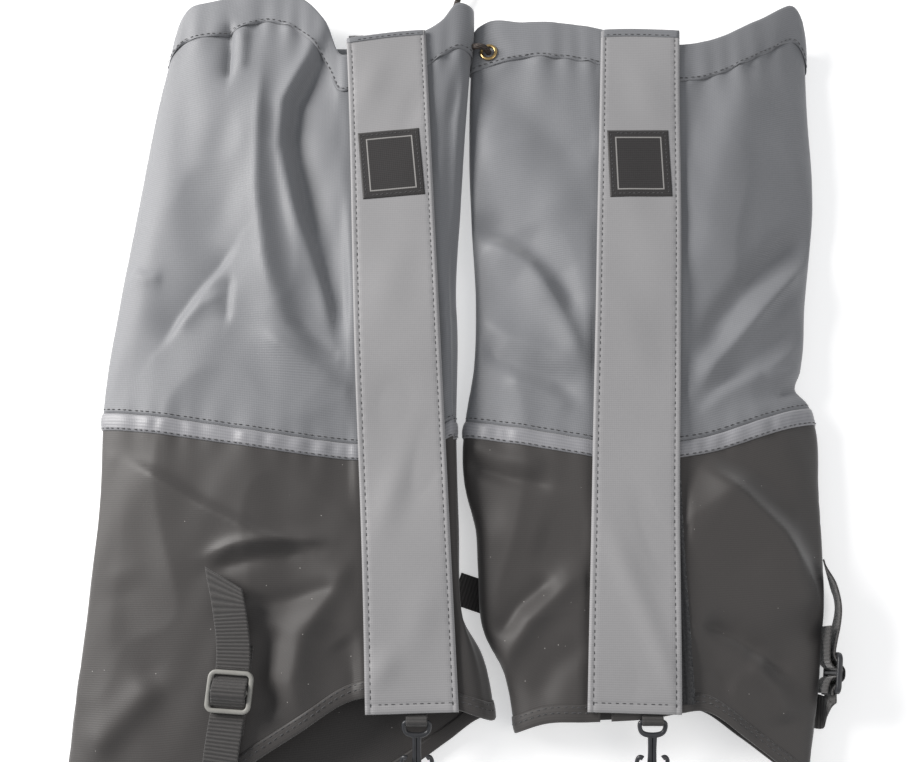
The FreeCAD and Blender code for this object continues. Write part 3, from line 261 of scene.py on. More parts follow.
# The lines that the grid's rows follow, from the foot edge to the knee edge.
FOOT, FOOT_STITCH, BAND_LOW, JOIN = -247.0, -238.0, -39.6, -29.0
KNEE_STITCH, KNEE_TOP = 212.0, 236.0
LEFT.knee_line = curve([(-30, 214), (-19, 221), (-9, 222), (8, 211), (30, 200), (60, 191), (71, 194),
                        (77, 211), (84, 222), (96, 234), (109, 241), (122, 243), (143, 236), (180, 231),
                        (200, 226)])
RIGHT.knee_line = curve([(-80, 212), (-70, 213), (-42, 218), (-15, 216), (11, 210), (40, 200), (69, 198),
                         (90, 203), (118, 218), (150, 237), (160, 240)])
# The foot edge, front and back: it arches up over the instep.
LEFT.front_foot = curve([(-34, -206), (-24, -203), (-12, -199), (4, -194), (26, -192), (44, -192),
                         (52, -194), (78, -210), (105, -227), (128, -243), (150, -247), (214, -247)])
LEFT.back_foot = curve([(-34, -202), (-24, -203), (-4, -216), (15, -229), (40, -243), (60, -247),
                        (214, -247)])
RIGHT.front_foot = curve([(-70, -220), (-56, -214), (-34, -206), (-10, -205), (4, -204.5), (26, -203),
                          (44, -200), (56, -199), (80, -214), (100, -229), (118, -242), (130, -247)])
RIGHT.back_foot = RIGHT.front_foot
FLAP_WIDTH, JOIN_DIP = 52.5, 20.0


def section(side, y):
    """The sleeve's cross-section at each y: (u, z) from the slit's one edge round to the other."""
    sewn = side.lean * y
    inner, outer = side.inner(y), side.outer(y)
    fold = side.fold_z(y)
    low = 0.75 + 2.9 * smooth((-30 - y) / 90)
    corners = [
        (sewn + 16.2, 25.7 + 0 * y),
        (sewn + 40, 25.8 + 0 * y),
        (sewn + 62, 25.7 + 0 * y),
        (sewn + 62 + 0.45 * (outer - sewn - 62), 24.4 + 0 * y),
        (outer - 24, 20.6 + 0 * y),
        (outer - 7, 15.4 + 0 * y),
        (outer + 2.2, 8.0 + low),
        (outer - 5, low + 0.1),
        (outer - 26, low),
        (0.5 * (outer - inner), low),
        (inner + 24, low),
        (inner + 6, low + 0.5),
        (inner - 2.0, fold - 1.5),
        (inner + 4.0, fold + 6.9),
        (0.5 * (inner + sewn - 4), 0.5 * (fold + 33.6)),
        (sewn - 4, 25.5 + 0 * y),
        (sewn + 9.8, 25.7 + 0 * y),
    ]
    path = np.array([[np.broadcast_to(u, y.shape), np.broadcast_to(z, y.shape)] for u, z in corners])
    for _ in range(3):
        near, far = path[:-1] * 0.75 + path[1:] * 0.25, path[:-1] * 0.25 + path[1:] * 0.75
        inside = np.stack([near, far], 1).reshape(-1, 2, len(y))
        path = np.concatenate([path[:1], inside[1:-1], path[-1:]])
    return path


COLUMNS = 210
SLEEVE_ROUND = 0.46


def rows_between(low, high, step):
    return list(np.linspace(low, high, max(2, int(round((high - low) / step)) + 1)))


ROWS = (rows_between(FOOT, FOOT_STITCH, 1.5)[:-1] + rows_between(FOOT_STITCH, BAND_LOW, 2.5)[:-1]
        + rows_between(BAND_LOW, JOIN, 1.3)[:-1] + rows_between(JOIN, KNEE_STITCH, 2.5)[:-1]
        + rows_between(KNEE_STITCH, KNEE_TOP, 1.7))


def sleeve_grid(side):
    """Points and outward normals of the whole folded sleeve, row by row from the foot."""
    rows = np.array(ROWS)
    path = section(side, rows)
    steps = np.hypot(*(path[1:] - path[:-1]).transpose(1, 0, 2))
    lengths = np.concatenate([np.zeros((1, len(rows))), np.cumsum(steps, 0)])
    grid = np.zeros((len(rows), COLUMNS, 3))
    for r in range(len(rows)):
        even = np.linspace(0, lengths[-1, r], COLUMNS)
        grid[r, :, 0] = np.interp(even, lengths[:, r], path[:, 0, r])
        grid[r, :, 2] = np.interp(even, lengths[:, r], path[:, 1, r])
        grid[r, :, 1] = rows[r]
    u, nominal, z = grid[..., 0], grid[..., 1].copy(), grid[..., 2]
    front = smooth((z - 5) / 12)
    sewn = side.lean * nominal
    middle = sewn + FLAP_WIDTH / 2
    # Knee end: the cloth runs up into the casing, further on one side than the other.
    knee_rise = side.knee_line(u) - KNEE_STITCH
    pulled_up = 2.7 * smooth((2 - u) / 12) if side is LEFT else 2.6 * smooth((-38 - u) / 26)
    stretch = 1 + 0.12 * front * (1 + pulled_up)
    y = nominal + (stretch - 1) * np.maximum(nominal - KNEE_STITCH, 0)
    rise_from = 95
    y = y + knee_rise * front * smooth((nominal - rise_from) / (KNEE_STITCH - rise_from))
    # Join: the seam dips towards the flap and climbs a little at the outer side.
    reach = np.where(u > middle, side.outer(JOIN) - middle, middle - side.inner(JOIN))
    dip = JOIN_DIP * (1 - np.clip(np.abs(u - middle) / reach, 0, 1))
    climb = 8.5 * smooth((u - 60) / 75) if side is RIGHT else 5.5 * smooth((u - 62) / 140)
    y = y + (climb - dip) * smooth(1 - np.abs(nominal - JOIN) / 90)
    # Foot end: arched up over the instep.
    arch = (side.front_foot(u) - FOOT) * front + (side.back_foot(u) - FOOT) * (1 - front)
    arch_from = -120
    y = y + arch * smooth((arch_from - nominal) / (arch_from - FOOT_STITCH))
    # Folds on the front, held flat under the flap.
    held = smooth((u - side.lean * y + 5) / 5) * smooth((side.lean * y + FLAP_WIDTH + 7 - u) / 5)
    relief = sum(f(u, y) for f in side.folds)
    crossed = (np.sin(u / 31 + y / 43 + 1.7 * np.sin(u / 37 - y / 53))
               + 0.6 * np.sin(u / 17 - y / 61 + 2.3 * np.sin(y / 47)))
    relief = relief + 0.9 * (1 - 2 * np.abs(crossed) / 1.6) * smooth((190 - y) / 60)
    drift = (1.1 * np.sin(u / 23 + 1.3 * np.sin(y / 41) + 0.7) * np.sin(y / 37 + 0.6 * np.sin(u / 19))
             + 0.35 * np.sin(u / 7.3 + y / 29) * np.sin(y / 13 + 1.1 * np.sin(u / 11)))
    gathers = (1.1 * np.sin(u / 3.1 + 2.0 * np.sin(u / 17)) + 0.7 * np.sin(u / 5.3 + 1)) * np.exp(
        -np.clip(KNEE_STITCH - nominal, 0, 400) / 11) * (nominal < KNEE_STITCH + 1)
    puckers = 0.5 * np.sin(u / 2.6 + 1.4 * np.sin(u / 13)) * np.exp(-np.abs(nominal - JOIN + 4) / 9)
    z += front * (1 - held) * (relief + drift + gathers + puckers)
    if side is RIGHT:
        # The cord pulls a dimple round its eyelet.
        dimple = smooth((17 - np.hypot(u + 62.5, y - 224.5)) / 11)
        z = np.where(z > 11, z + dimple * (np.minimum(z, 15.6 + 0.14 * (u + 62.5)) - z), z)
    if side is LEFT:
        # The buckle and its straps press the cloth flat.
        pressed = smooth((16 + 8 - np.abs(u - 118)) / 8) * smooth((-112 - y) / 12)
        z = np.where(z > 14, z + pressed * (np.minimum(z, 25.6) - z), z)
    grid[..., 1] = y
    under_flap = held > 0.5
    grid[..., 2] = np.where(under_flap, np.minimum(z, 25.9), np.maximum(z, 0.6))
    points = side.place(grid[..., 0], grid[..., 1], grid[..., 2])
    along = np.gradient(points, axis=1)
    up = np.gradient(points, axis=0)
    normals = np.cross(along, up) * side.sign
    normals /= np.linalg.norm(normals, axis=-1, keepdims=True) + 1e-12
    return grid, points, normals


def row_index(y):
    return int(np.argmin(np.abs(np.array(ROWS) - y)))


def link(name, vertices, faces, uvs=None):
    """A smooth-shaded mesh object; uvs are one (across, along) pair in metres per vertex."""
    mesh = bpy.data.meshes.new(name)
    mesh.from_pydata([tuple(v) for v in vertices], [], [tuple(int(i) for i in f) for f in faces])
    if uvs is not None:
        layer = mesh.uv_layers.new(name="cloth")
        corner_vertices = np.zeros(len(mesh.loops), int)
        mesh.loops.foreach_get("vertex_index", corner_vertices)
        layer.data.foreach_set("uv", np.asarray(uvs, float)[corner_vertices].ravel())
    mesh.polygons.foreach_set("use_smooth", [True] * len(mesh.polygons))
    mesh.update()
    thing = bpy.data.objects.new(name, mesh)
    bpy.context.scene.collection.objects.link(thing)
    return thing


def grid_faces(rows, columns, flip=False):
    faces = []
    for r in range(rows - 1):
        for c in range(columns - 1):
            a = r * columns + c
            quad = (a, a + 1, a + columns + 1, a + columns)
            faces.append(quad[::-1] if flip else quad)
    return faces


def front_grid(name, side, points, across, along):
    """A grid on a gaiter's front, with its millimetres across and along as its uvs."""
    uvs = np.stack([across, along], -1).reshape(-1, 2) / 1000
    return link(name, points.reshape(-1, 3), grid_faces(*across.shape, side is LEFT), uvs)


def thicken(thing, thickness):
    """Cloth or tape of a thickness in millimetres, behind its outer face."""
    solid = thing.modifiers.new("cloth thickness", "SOLIDIFY")
    solid.thickness = thickness / 1000
    solid.offset = -1
    solid.use_even_offset = False
    bpy.context.view_layer.update()
    evaluated = thing.evaluated_get(bpy.context.evaluated_depsgraph_get())
    mesh = bpy.data.meshes.new_from_object(evaluated)
    thing.modifiers.clear()
    thing.data = mesh
    return thing


def finish_piece(thing, material, body, slot, *nodes):
    thing.data.materials.clear()
    thing.data.materials.append(material)
    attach(thing, body)
    if nodes:
        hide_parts(*nodes)
    return thing


def sleeve_strip(name, side, low, high, lift, thickness):
    """Part of the sleeve between two rows, stood off by lift millimetres."""
    _, points, normals = SLEEVES[side.name]
    a, b = row_index(low), row_index(high) + 1
    lift = lift[..., None] if np.ndim(lift) else lift
    part = points[a:b] + normals[a:b] * lift / 1000
    uvs = np.stack(np.meshgrid(np.linspace(0, SLEEVE_ROUND, COLUMNS), np.array(ROWS[a:b]) / 1000), -1)
    thing = link(name, part.reshape(-1, 3), grid_faces(b - a, COLUMNS, side is LEFT), uvs.reshape(-1, 2))
    return thicken(thing, thickness)


def node_group(name, inputs, outputs):
    group = bpy.data.node_groups.new(name, "ShaderNodeTree")
    for label, kind, default in inputs:
        socket = group.interface.new_socket(label, in_out="INPUT", socket_type=kind)
        socket.default_value = default
    for label, kind in outputs:
        group.interface.new_socket(label, in_out="OUTPUT", socket_type=kind)
    return group, group.nodes.new("NodeGroupInput"), group.nodes.new("NodeGroupOutput")


def feed(tree, socket, value):
    """Give a socket its value, or link it to the socket that has it."""
    if hasattr(value, "is_linked"):
        tree.links.new(value, socket)
    elif value is not None:
        socket.default_value = value


def add(tree, kind, sockets=None, **settings):
    """A shader node with its settings and what each of its sockets is given."""
    node = tree.nodes.new("ShaderNode" + kind)
    for key, value in settings.items():
        setattr(node, key, value)
    for key, value in (sockets or {}).items():
        feed(tree, node.inputs[key], value)
    return node


def math_node(tree, operation, first, second=None, clamp=False):
    return add(tree, "Math", {0: first, 1: second}, operation=operation, use_clamp=clamp).outputs[0]


def scaled(tree, value, spread, base):
    """value * spread + base."""
    return math_node(tree, "ADD", math_node(tree, "MULTIPLY", value, spread), base)


# Ribbed weave: fine raised ribs across the cloth with small breaks, their height, and a painted shade from
# that height that darkens the grooves between the ribs.
weave, weave_in, weave_out = node_group(
    "ribbed weave",
    [("Ribs per metre", "NodeSocketFloat", 900.0), ("Threads per metre", "NodeSocketFloat", 1500.0),
     ("Break up", "NodeSocketFloat", 0.4)],
    [("Height", "NodeSocketFloat"), ("Shade", "NodeSocketFloat")])
weave_uv = add(weave, "UVMap", uv_map="cloth").outputs[0]
split = add(weave, "SeparateXYZ", {0: weave_uv})
turns = []
for way, count in ((1, "Ribs per metre"), (0, "Threads per metre")):
    turn = math_node(weave, "MULTIPLY", split.outputs[way], weave_in.outputs[count])
    turns.append(math_node(weave, "SINE", math_node(weave, "MULTIPLY", turn, 6.2832)))
slub = add(weave, "TexNoise", {"Vector": weave_uv, "Scale": 420.0, "Detail": 3.0}, noise_dimensions="3D")
broken = math_node(weave, "MULTIPLY", slub.outputs[0], weave_in.outputs["Break up"])
threads_height = math_node(weave, "MULTIPLY", turns[1], 0.15)
ribs = math_node(weave, "ADD", math_node(weave, "MULTIPLY", turns[0], 0.35), threads_height)
height = math_node(weave, "ADD", math_node(weave, "ADD", ribs, broken), 0.5)
feed(weave, weave_out.inputs["Height"], height)
# Painted shade: the lower the weave, the darker the colour it is given.
feed(weave, weave_out.inputs["Shade"], math_node(weave, "MULTIPLY", height, 1.0, True))

# Worn and faded cloth: slow changes of tone and pale dust specks.
fading, fading_in, fading_out = node_group(
    "cloth fading",
    [("Tone scale", "NodeSocketFloat", 9.0), ("Speck scale", "NodeSocketFloat", 260.0),
     ("Speck size", "NodeSocketFloat", 0.08)],
    [("Tone", "NodeSocketFloat"), ("Specks", "NodeSocketFloat")])
place = add(fading, "TexCoord").outputs["Object"]
tone = add(fading, "TexNoise", {"Vector": place, "Scale": fading_in.outputs["Tone scale"], "Detail": 4.0})
speck = add(fading, "TexVoronoi", {"Vector": place, "Scale": fading_in.outputs["Speck scale"]})
chosen = add(fading, "SeparateColor", {0: speck.outputs["Color"]})
near = math_node(fading, "LESS_THAN", speck.outputs["Distance"], fading_in.outputs["Speck size"])
rare = math_node(fading, "GREATER_THAN", chosen.outputs[0], 0.93)
feed(fading, fading_out.inputs["Tone"], tone.outputs[0])
feed(fading, fading_out.inputs["Specks"], math_node(fading, "MULTIPLY", near, rare))


def new_material(name):
    material = bpy.data.materials.new(name)
    material.use_nodes = True
    return material, material.node_tree, material.node_tree.nodes["Principled BSDF"]


def cloth(name, colour, groove_shade, roughness, ribs, threads, relief, break_up=0.4, specks=0.0, sheen=0.15,
          tone_spread=0.16):
    """Woven cloth: ribs with a painted shade darkening their grooves, slubs of random tone, slow fading and a
    few specks.
    """
    material, tree, shader = new_material(name)
    counts = {"Ribs per metre": ribs, "Threads per metre": threads, "Break up": break_up}
    woven = add(tree, "Group", counts, node_tree=weave)
    worn = add(tree, "Group", node_tree=fading)
    # Painted shade: the rib grooves get the darker second colour, the rib tops the cloth's own colour.
    yarn_with_groove_shade = add(tree, "MixRGB", {0: woven.outputs["Shade"], 1: (*groove_shade, 1), 2: (*colour, 1)})
    value = scaled(tree, worn.outputs["Tone"], 2 * tone_spread, 1 - tone_spread)
    toned = add(tree, "HueSaturation", {"Value": value, "Color": yarn_with_groove_shade.outputs[0]})
    dust = math_node(tree, "MULTIPLY", worn.outputs["Specks"], specks)
    dusted = add(tree, "MixRGB", {0: dust, 1: toned.outputs[0], 2: (0.5, 0.48, 0.45, 1)})
    feed(tree, shader.inputs["Base Color"], dusted.outputs[0])
    feed(tree, shader.inputs["Roughness"], scaled(tree, worn.outputs["Tone"], 0.16, roughness - 0.08))
    shader.inputs["Sheen Weight"].default_value = sheen
    shader.inputs["Sheen Roughness"].default_value = 0.5
    shader.inputs["Specular IOR Level"].default_value = 0.4
    bump = add(tree, "Bump", {"Strength": 0.8, "Distance": relief / 1000, "Height": woven.outputs["Height"]})
    feed(tree, shader.inputs["Normal"], bump.outputs[0])
    return material


def worn_finish(name, tone_scale, dark, light, rough_spread, rough_base):
    """A material whose tone and roughness drift together between two limits."""
    material, tree, shader = new_material(name)
    worn = add(tree, "Group", {"Tone scale": tone_scale}, node_tree=fading)
    mix = add(tree, "MixRGB", {0: worn.outputs["Tone"], 1: (*dark, 1), 2: (*light, 1)})
    feed(tree, shader.inputs["Base Color"], mix.outputs[0])
    feed(tree, shader.inputs["Roughness"], scaled(tree, worn.outputs["Tone"], rough_spread, rough_base))
    return material, tree, shader


# Each cloth's second colour is the painted shade in its rib grooves.
grey_nylon = cloth("ribbed grey nylon", (0.212, 0.216, 0.229), (0.162, 0.166, 0.177), 0.55, 760, 900, 0.08,
                   sheen=0.25)
black_coated = cloth("black coated oxford", (0.049, 0.0445, 0.0425), (0.035, 0.0315, 0.0305), 0.56, 800, 1100,
                     0.035, specks=0.55, sheen=0.3, tone_spread=0.15)

SLEEVES = {side.name: sleeve_grid(side) for side in (LEFT, RIGHT)}
for side in (LEFT, RIGHT):
    upper = sleeve_strip(side.name + "_upper_cloth", side, JOIN, KNEE_STITCH + 3, 0.0, 0.7)
    finish_piece(upper, grey_nylon, side.name + "_gaiter", "grey_nylon", side.name + "_upper_panel")
    lower = sleeve_strip(side.name + "_lower_cloth", side, FOOT_STITCH - 4, JOIN, 0.0, 0.7)
    finish_piece(lower, black_coated, side.name + "_gaiter", "black_coated", side.name + "_lower_panel")

# ---- Stitching -------------------------------------------------------------------------
# Dark polyester lockstitch, about four stitches to the centimetre and a little uneven,
# each one pulled down into the cloth at its ends.

thread_paint, _, thread_shader = worn_finish("dark thread", 300.0, (0.012, 0.012, 0.014), (0.05, 0.05, 0.055),
                                             0.3, 0.4)
thread_shader.inputs["Sheen Weight"].default_value = 0.3


def stitches(name, body, slot, lines, length=2.7, gap=1.3, width=0.62):
    """Rows of stitches along (points, normals) lines, in metres."""
    vertices, faces = [], []
    for points, normals in lines:
        points, normals = np.asarray(points, float), np.asarray(normals, float)
        steps = np.linalg.norm(points[1:] - points[:-1], axis=1)
        run = np.concatenate([[0], np.cumsum(steps)])
        place_at = lambda d: np.array([np.interp(d, run, points[:, k]) for k in range(3)])
        normal_at = lambda d: np.array([np.interp(d, run, normals[:, k]) for k in range(3)])
        count = int(run[-1] * 1000 / (length + gap))
        for i in range(count):
            start = (i * (length + gap) + 0.25 * math.sin(i * 2.4)) / 1000
            stop = start + (length + 0.3 * math.sin(i * 1.7)) / 1000
            a, b = place_at(max(start, 0)), place_at(stop)
            up = normal_at((start + stop) / 2)
            up = up / (np.linalg.norm(up) + 1e-12)
            ahead = (b - a) / (np.linalg.norm(b - a) + 1e-12)
            out = np.cross(ahead, up) * width / 2000
            top = up * width / 2600
            first = len(vertices)
            vertices.append(a - up * 0.0003)
            for share in (0.22, 0.78):
                middle = a + (b - a) * share
                vertices += [middle + out, middle + top, middle - out, middle - top]
            vertices.append(b - up * 0.0003)
            for k in range(4):
                n = (k + 1) % 4
                faces.append((first, first + 1 + k, first + 1 + n))
                faces.append((first + 1 + k, first + 5 + k, first + 5 + n, first + 1 + n))
                faces.append((first + 9, first + 5 + n, first + 5 + k))
    return finish_piece(link(name, vertices, faces), thread_paint, body, slot)


def sleeve_line(side, row, lift, rows_off=0):
    """The sleeve's points and normals along one row of its grid."""
    _, points, normals = SLEEVES[side.name]
    r = row_index(row) + rows_off
    return points[r] + normals[r] * lift / 1000, normals[r]


# ---- Seam band -------------------------------------------------------------------------
# A strip of the grey nylon folded over the join and stitched along its upper edge; the
# elastic behind it draws it into small puckers.

pale_nylon = cloth("pale grey binding", (0.275, 0.275, 0.29), (0.21, 0.21, 0.225), 0.45, 500, 900, 0.10,
                   sheen=0.25)

for side in (LEFT, RIGHT):
    a, b = row_index(BAND_LOW), row_index(JOIN) + 1
    t = np.linspace(0, 1, b - a)[:, None]
    u = SLEEVES[side.name][0][a:b, :, 0]
    pucker = 0.28 * np.sin(u / 1.9 + 2 * np.sin(u / 9)) * np.sin(np.pi * t)
    lift = 0.35 + 0.8 * np.sin(np.pi * t) ** 0.5 + pucker
    band = sleeve_strip(side.name + "_band", side, BAND_LOW, JOIN, lift, 0.5)
    finish_piece(band, pale_nylon, side.name + "_gaiter", "grey_nylon", side.name + "_seam_band")
    stitches(side.name + "_band_stitches", side.name + "_gaiter", "webbing",
             [sleeve_line(side, BAND_LOW, 1.15, 1), sleeve_line(side, JOIN, 0.35, 1)])

# ---- Ankle elastic ---------------------------------------------------------------------
# A knitted elastic strip sewn inside across the back, just under the join.

elastic_cloth = cloth("knitted elastic", (0.05, 0.05, 0.052), (0.02, 0.02, 0.02), 0.7, 700, 500, 0.3,
                      sheen=0.4)
for side in (LEFT, RIGHT):
    grid, points, normals = SLEEVES[side.name]
    a, b = row_index(JOIN - 9), row_index(JOIN - 1) + 1
    behind = [c for c in range(COLUMNS) if grid[a, c, 2] < 3.0]
    c0, c1 = behind[0] + 2, behind[-1] - 1
    ruffle = 0.35 * np.sin(np.arange(c0, c1) * 0.9)
    part = points[a:b, c0:c1] - normals[a:b, c0:c1] * (1.25 + ruffle[None, :, None]) / 1000
    uvs = np.stack(np.meshgrid(np.linspace(0, 0.3, c1 - c0), np.linspace(0, 0.008, b - a)), -1).reshape(-1, 2)
    strip = link(side.name + "_elastic", part.reshape(-1, 3), grid_faces(b - a, c1 - c0, side is LEFT), uvs)
    finish_piece(thicken(strip, 0.8), elastic_cloth, side.name + "_gaiter", "elastic",
                 side.name + "_ankle_elastic")

# ---- Foot hem and knee hem -------------------------------------------------------------
# Both ends are turned in and stitched. The knee one is a deep casing, which the drawcord
# fills and draws into gathers; the foot one is a narrow flat hem.


def turned_edge(name, side, rows, outside, inside, past, ruffle=0.0):
    """Cloth running along the rows, over the edge at the last row and back inside."""
    grid, points, normals = SLEEVES[side.name]
    t = np.linspace(0, 1, len(rows))[:, None, None]
    swell = np.sin(np.pi * np.clip(0.08 + t * 0.86, 0, 1)) ** 0.7
    u = grid[rows][..., :1]
    crumple = ruffle * (np.sin(u / 2.3 + 2.2 * np.sin(u / 15)) + 0.6 * np.sin(u / 4.1 + 1.0)) * (1 - 0.6 * t)
    outer = points[rows] + normals[rows] * (0.35 + outside * swell + crumple) / 1000
    inner = points[rows] - normals[rows] * (0.9 + inside * swell - crumple * 0.5) / 1000
    onward = points[rows[-1]] - points[rows[-2]]
    onward /= np.linalg.norm(onward, axis=-1, keepdims=True)
    edges = [0.5 * (outer[-1] + inner[-1]) + onward * past / 1000
             + (outer[-1] - inner[-1]) * share + onward * push / 1000
             for share, push in ((0.32, -0.2), (0.0, 0.0), (-0.32, -0.2))]
    whole = np.concatenate([outer, np.array(edges), inner[::-1]])
    down = np.concatenate([[0], np.cumsum(np.linalg.norm(whole[1:, 60] - whole[:-1, 60], axis=1))])
    uvs = np.stack(np.meshgrid(np.linspace(0, SLEEVE_ROUND, COLUMNS), down), -1).reshape(-1, 2)
    backwards = rows[-1] < rows[0]
    faces = grid_faces(len(whole), COLUMNS, (side is LEFT) != backwards)
    return thicken(link(name, whole.reshape(-1, 3), faces, uvs), 0.45)


for side in (LEFT, RIGHT):
    foot_rows = list(range(row_index(FOOT_STITCH), -1, -1))
    foot_hem = turned_edge(side.name + "_foot_edge", side, foot_rows, 0.5, 0.5, 0.7, 0.06)
    finish_piece(foot_hem, black_coated, side.name + "_gaiter", "black_coated", side.name + "_foot_hem")
    stitches(side.name + "_foot_stitches", side.name + "_gaiter", "webbing",
             [sleeve_line(side, FOOT_STITCH, 0.75, -1), sleeve_line(side, FOOT + 4, 1.0)])
    knee_rows = list(range(row_index(KNEE_STITCH), len(ROWS)))
    knee_hem = turned_edge(side.name + "_knee_casing", side, knee_rows, 0.8, 3.6, 0.6, 0.32)
    finish_piece(knee_hem, grey_nylon, side.name + "_gaiter", "grey_nylon", side.name + "_knee_hem")
    stitches(side.name + "_knee_stitches", side.name + "_gaiter", "webbing",
             [sleeve_line(side, KNEE_STITCH, 1.25, 1)])

# ---- Drawcord --------------------------------------------------------------------------
# Four-millimetre braided cord. It runs round inside each knee casing; on the right gaiter
# its end comes out of the brass eyelet and passes behind the left gaiter's peak.


def cord_curve(name, points, radius, material):
    """A smooth cord along control points in metres."""
    data = bpy.data.curves.new(name, "CURVE")
    data.dimensions = "3D"
    data.bevel_depth = radius
    data.bevel_resolution = 5
    data.resolution_u = 10
    data.use_fill_caps = True
    line = data.splines.new("NURBS")
    line.points.add(len(points) - 1)
    for control, point in zip(line.points, points):
        control.co = (*point, 1)
    line.order_u = 3
    line.use_endpoint_u = True
    data.materials.append(material)
    thing = bpy.data.objects.new(name, data)
    bpy.context.scene.collection.objects.link(thing)
    return thing


braid, braid_tree, braid_shader = new_material("dark braid")
braid_place = add(braid_tree, "TexCoord").outputs["Object"]
braid_waves = []
for turn in (0.75, -0.75):
    turned = add(braid_tree, "Mapping", {"Vector": braid_place, "Rotation": (0.4, turn, turn)})
    wave = add(braid_tree, "TexWave", {"Vector": turned.outputs[0], "Scale": 260.0, "Distortion": 1.2},
               wave_type="BANDS", bands_direction="DIAGONAL")
    braid_waves.append(wave.outputs["Fac"])
plaits = math_node(braid_tree, "MAXIMUM", *braid_waves)
# Painted shade: the grooves between the plaits get the darker brown, their crests the lighter one.
plait_groove_shade = add(braid_tree, "MixRGB", {0: plaits, 1: (0.012, 0.009, 0.008, 1), 2: (0.055, 0.04, 0.032, 1)})
feed(braid_tree, braid_shader.inputs["Base Color"], plait_groove_shade.outputs[0])
braid_rough = math_node(braid_tree, "SUBTRACT", 0.75, math_node(braid_tree, "MULTIPLY", plaits, 0.25))
feed(braid_tree, braid_shader.inputs["Roughness"], braid_rough)
braid_bump = add(braid_tree, "Bump", {"Height": plaits, "Distance": 0.0004})
feed(braid_tree, braid_shader.inputs["Normal"], braid_bump.outputs[0])

for side in (LEFT, RIGHT):
    _, points, normals = SLEEVES[side.name]
    row = row_index(KNEE_STITCH + 0.62 * (KNEE_TOP - KNEE_STITCH))
    inside = points[row] - normals[row] * 2.3 / 1000
    hidden_cord = cord_curve(side.name + "_casing_cord", inside[3:-3:5], 0.0017, braid)
    finish_piece(hidden_cord, braid, side.name + "_gaiter", "drawcord", side.name + "_hem_drawcord")

# Millimetres from its way out of the eyelet: across, towards the knee end, and height.
cord_exit = (13.06, 240.13)
cord_steps = [(0, 0, 13.63), (-1.32, 0.3, 22.53), (-9.6, 2, 22.43), (-17.9, 7, 8.13), (-22.5, 16, 2.5),
              (-23.5, 27, 2.0), (-24, 41, 3.2), (-19.5, 54, 5.5), (-12.2, 82, 6.0), (-9, 95.5, 5.0)]
free_route = [(round((cord_exit[0] + x) / 1000, 5), round((cord_exit[1] + y) / 1000, 5), round(z / 1000, 5))
              for x, y, z in cord_steps]
free_cord = cord_curve("free_drawcord", free_route, 0.0020, braid)
finish_piece(free_cord, braid, "right_gaiter", "drawcord", "right_free_cord")

# ---- Eyelets ---------------------------------------------------------------------------
# Rolled brass eyelets: a domed flange outside the casing, its barrel through the cloth
# and a flat washer clenched behind.

brass, _, brass_shader = worn_finish("brushed brass", 350.0, (0.42, 0.27, 0.10), (0.78, 0.57, 0.27),
                                     0.3, 0.15)
brass_shader.inputs["Metallic"].default_value = 1.0


def turned_ring(name, profile, centre, axis, segments=56):
    """A closed (radius, height) profile in millimetres turned about an axis."""
    turn = Vector((0, 0, 1)).rotation_difference(Vector(axis).normalized())
    vertices = []
    for i in range(segments):
        angle = 2 * math.pi * i / segments
        for radius, height in profile:
            point = Vector((radius * math.cos(angle), radius * math.sin(angle), height)) / 1000
            vertices.append(Vector(centre) + turn @ point)
    count = len(profile)
    faces = []
    for i in range(segments):
        near, far = i * count, (i + 1) % segments * count
        faces += [(near + k, far + k, far + (k + 1) % count, near + (k + 1) % count) for k in range(count)]
    return link(name, vertices, faces)


flange_profile = [(3.85, -0.7), (3.85, 0.25), (4.1, 0.62), (4.6, 0.78), (5.2, 0.66), (5.75, 0.34),
                  (6.0, 0.02), (5.9, -0.12), (5.2, 0.05), (4.5, 0.05), (4.2, -0.1), (4.15, -0.7)]
washer_profile = [(4.25, -0.12), (4.25, 0.12), (4.6, 0.2), (5.6, 0.2), (5.95, 0.05), (5.95, -0.1),
                  (5.5, -0.16)]
for side, tilt in ((RIGHT, (-0.155, 0.0, 0.988)), (LEFT, (0.35, 0.0, -0.937))):
    low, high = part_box(side.name + "_eyelet")
    low_back, high_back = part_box(side.name + "_eyelet_washer")
    normal = Vector(tilt)
    flange = turned_ring(side.name + "_flange", flange_profile, (low + high) / 2 + normal * 0.0011, normal)
    finish_piece(flange, brass, side.name + "_gaiter", "brass", side.name + "_eyelet")
    washer = turned_ring(side.name + "_clench", washer_profile, (low_back + high_back) / 2, normal)
    finish_piece(washer, brass, side.name + "_gaiter", "brass", side.name + "_eyelet_washer")

# ---- Knot, cord lock and its spring ----------------------------------------------------
# The free end carries a moulded barrel lock with a sprung plunger, stopped by an overhand
# knot. The lock's moulded parts keep their made shape and get their plastic finish.


def moulded(name, colour, roughness, speckle=0.25):
    """Moulded plastic: slight mottle, fine mould texture and dulled patches."""
    dark, light = ([c * share for c in colour] for share in (1 - speckle, 1 + speckle))
    material, tree, shader = worn_finish(name, 160.0, dark, light, 0.2, roughness - 0.1)
    where = add(tree, "TexCoord").outputs["Object"]
    grain = add(tree, "TexNoise", {"Vector": where, "Scale": 1500.0})
    bump = add(tree, "Bump", {"Strength": 0.35, "Distance": 0.0002, "Height": grain.outputs[0]})
    feed(tree, shader.inputs["Normal"], bump.outputs[0])
    return material


dark_plastic = moulded("black acetal", (0.035, 0.036, 0.04), 0.36)
# A paler copy of the black acetal, with painted light: the left buckle is the same black moulding as the
# right one, coloured as if lit.
lit_buckle_plastic = moulded("grey acetal", (0.27, 0.265, 0.245), 0.42, 0.18)
spring_steel = moulded("spring wire", (0.5, 0.5, 0.5), 0.3, 0.1)
spring_steel.node_tree.nodes["Principled BSDF"].inputs["Metallic"].default_value = 1.0


def coat(node, material):
    """Give a node that keeps its made shape its finish."""
    thing = frame["nodes"][node]
    thing.data.materials.clear()
    thing.data.materials.append(material)


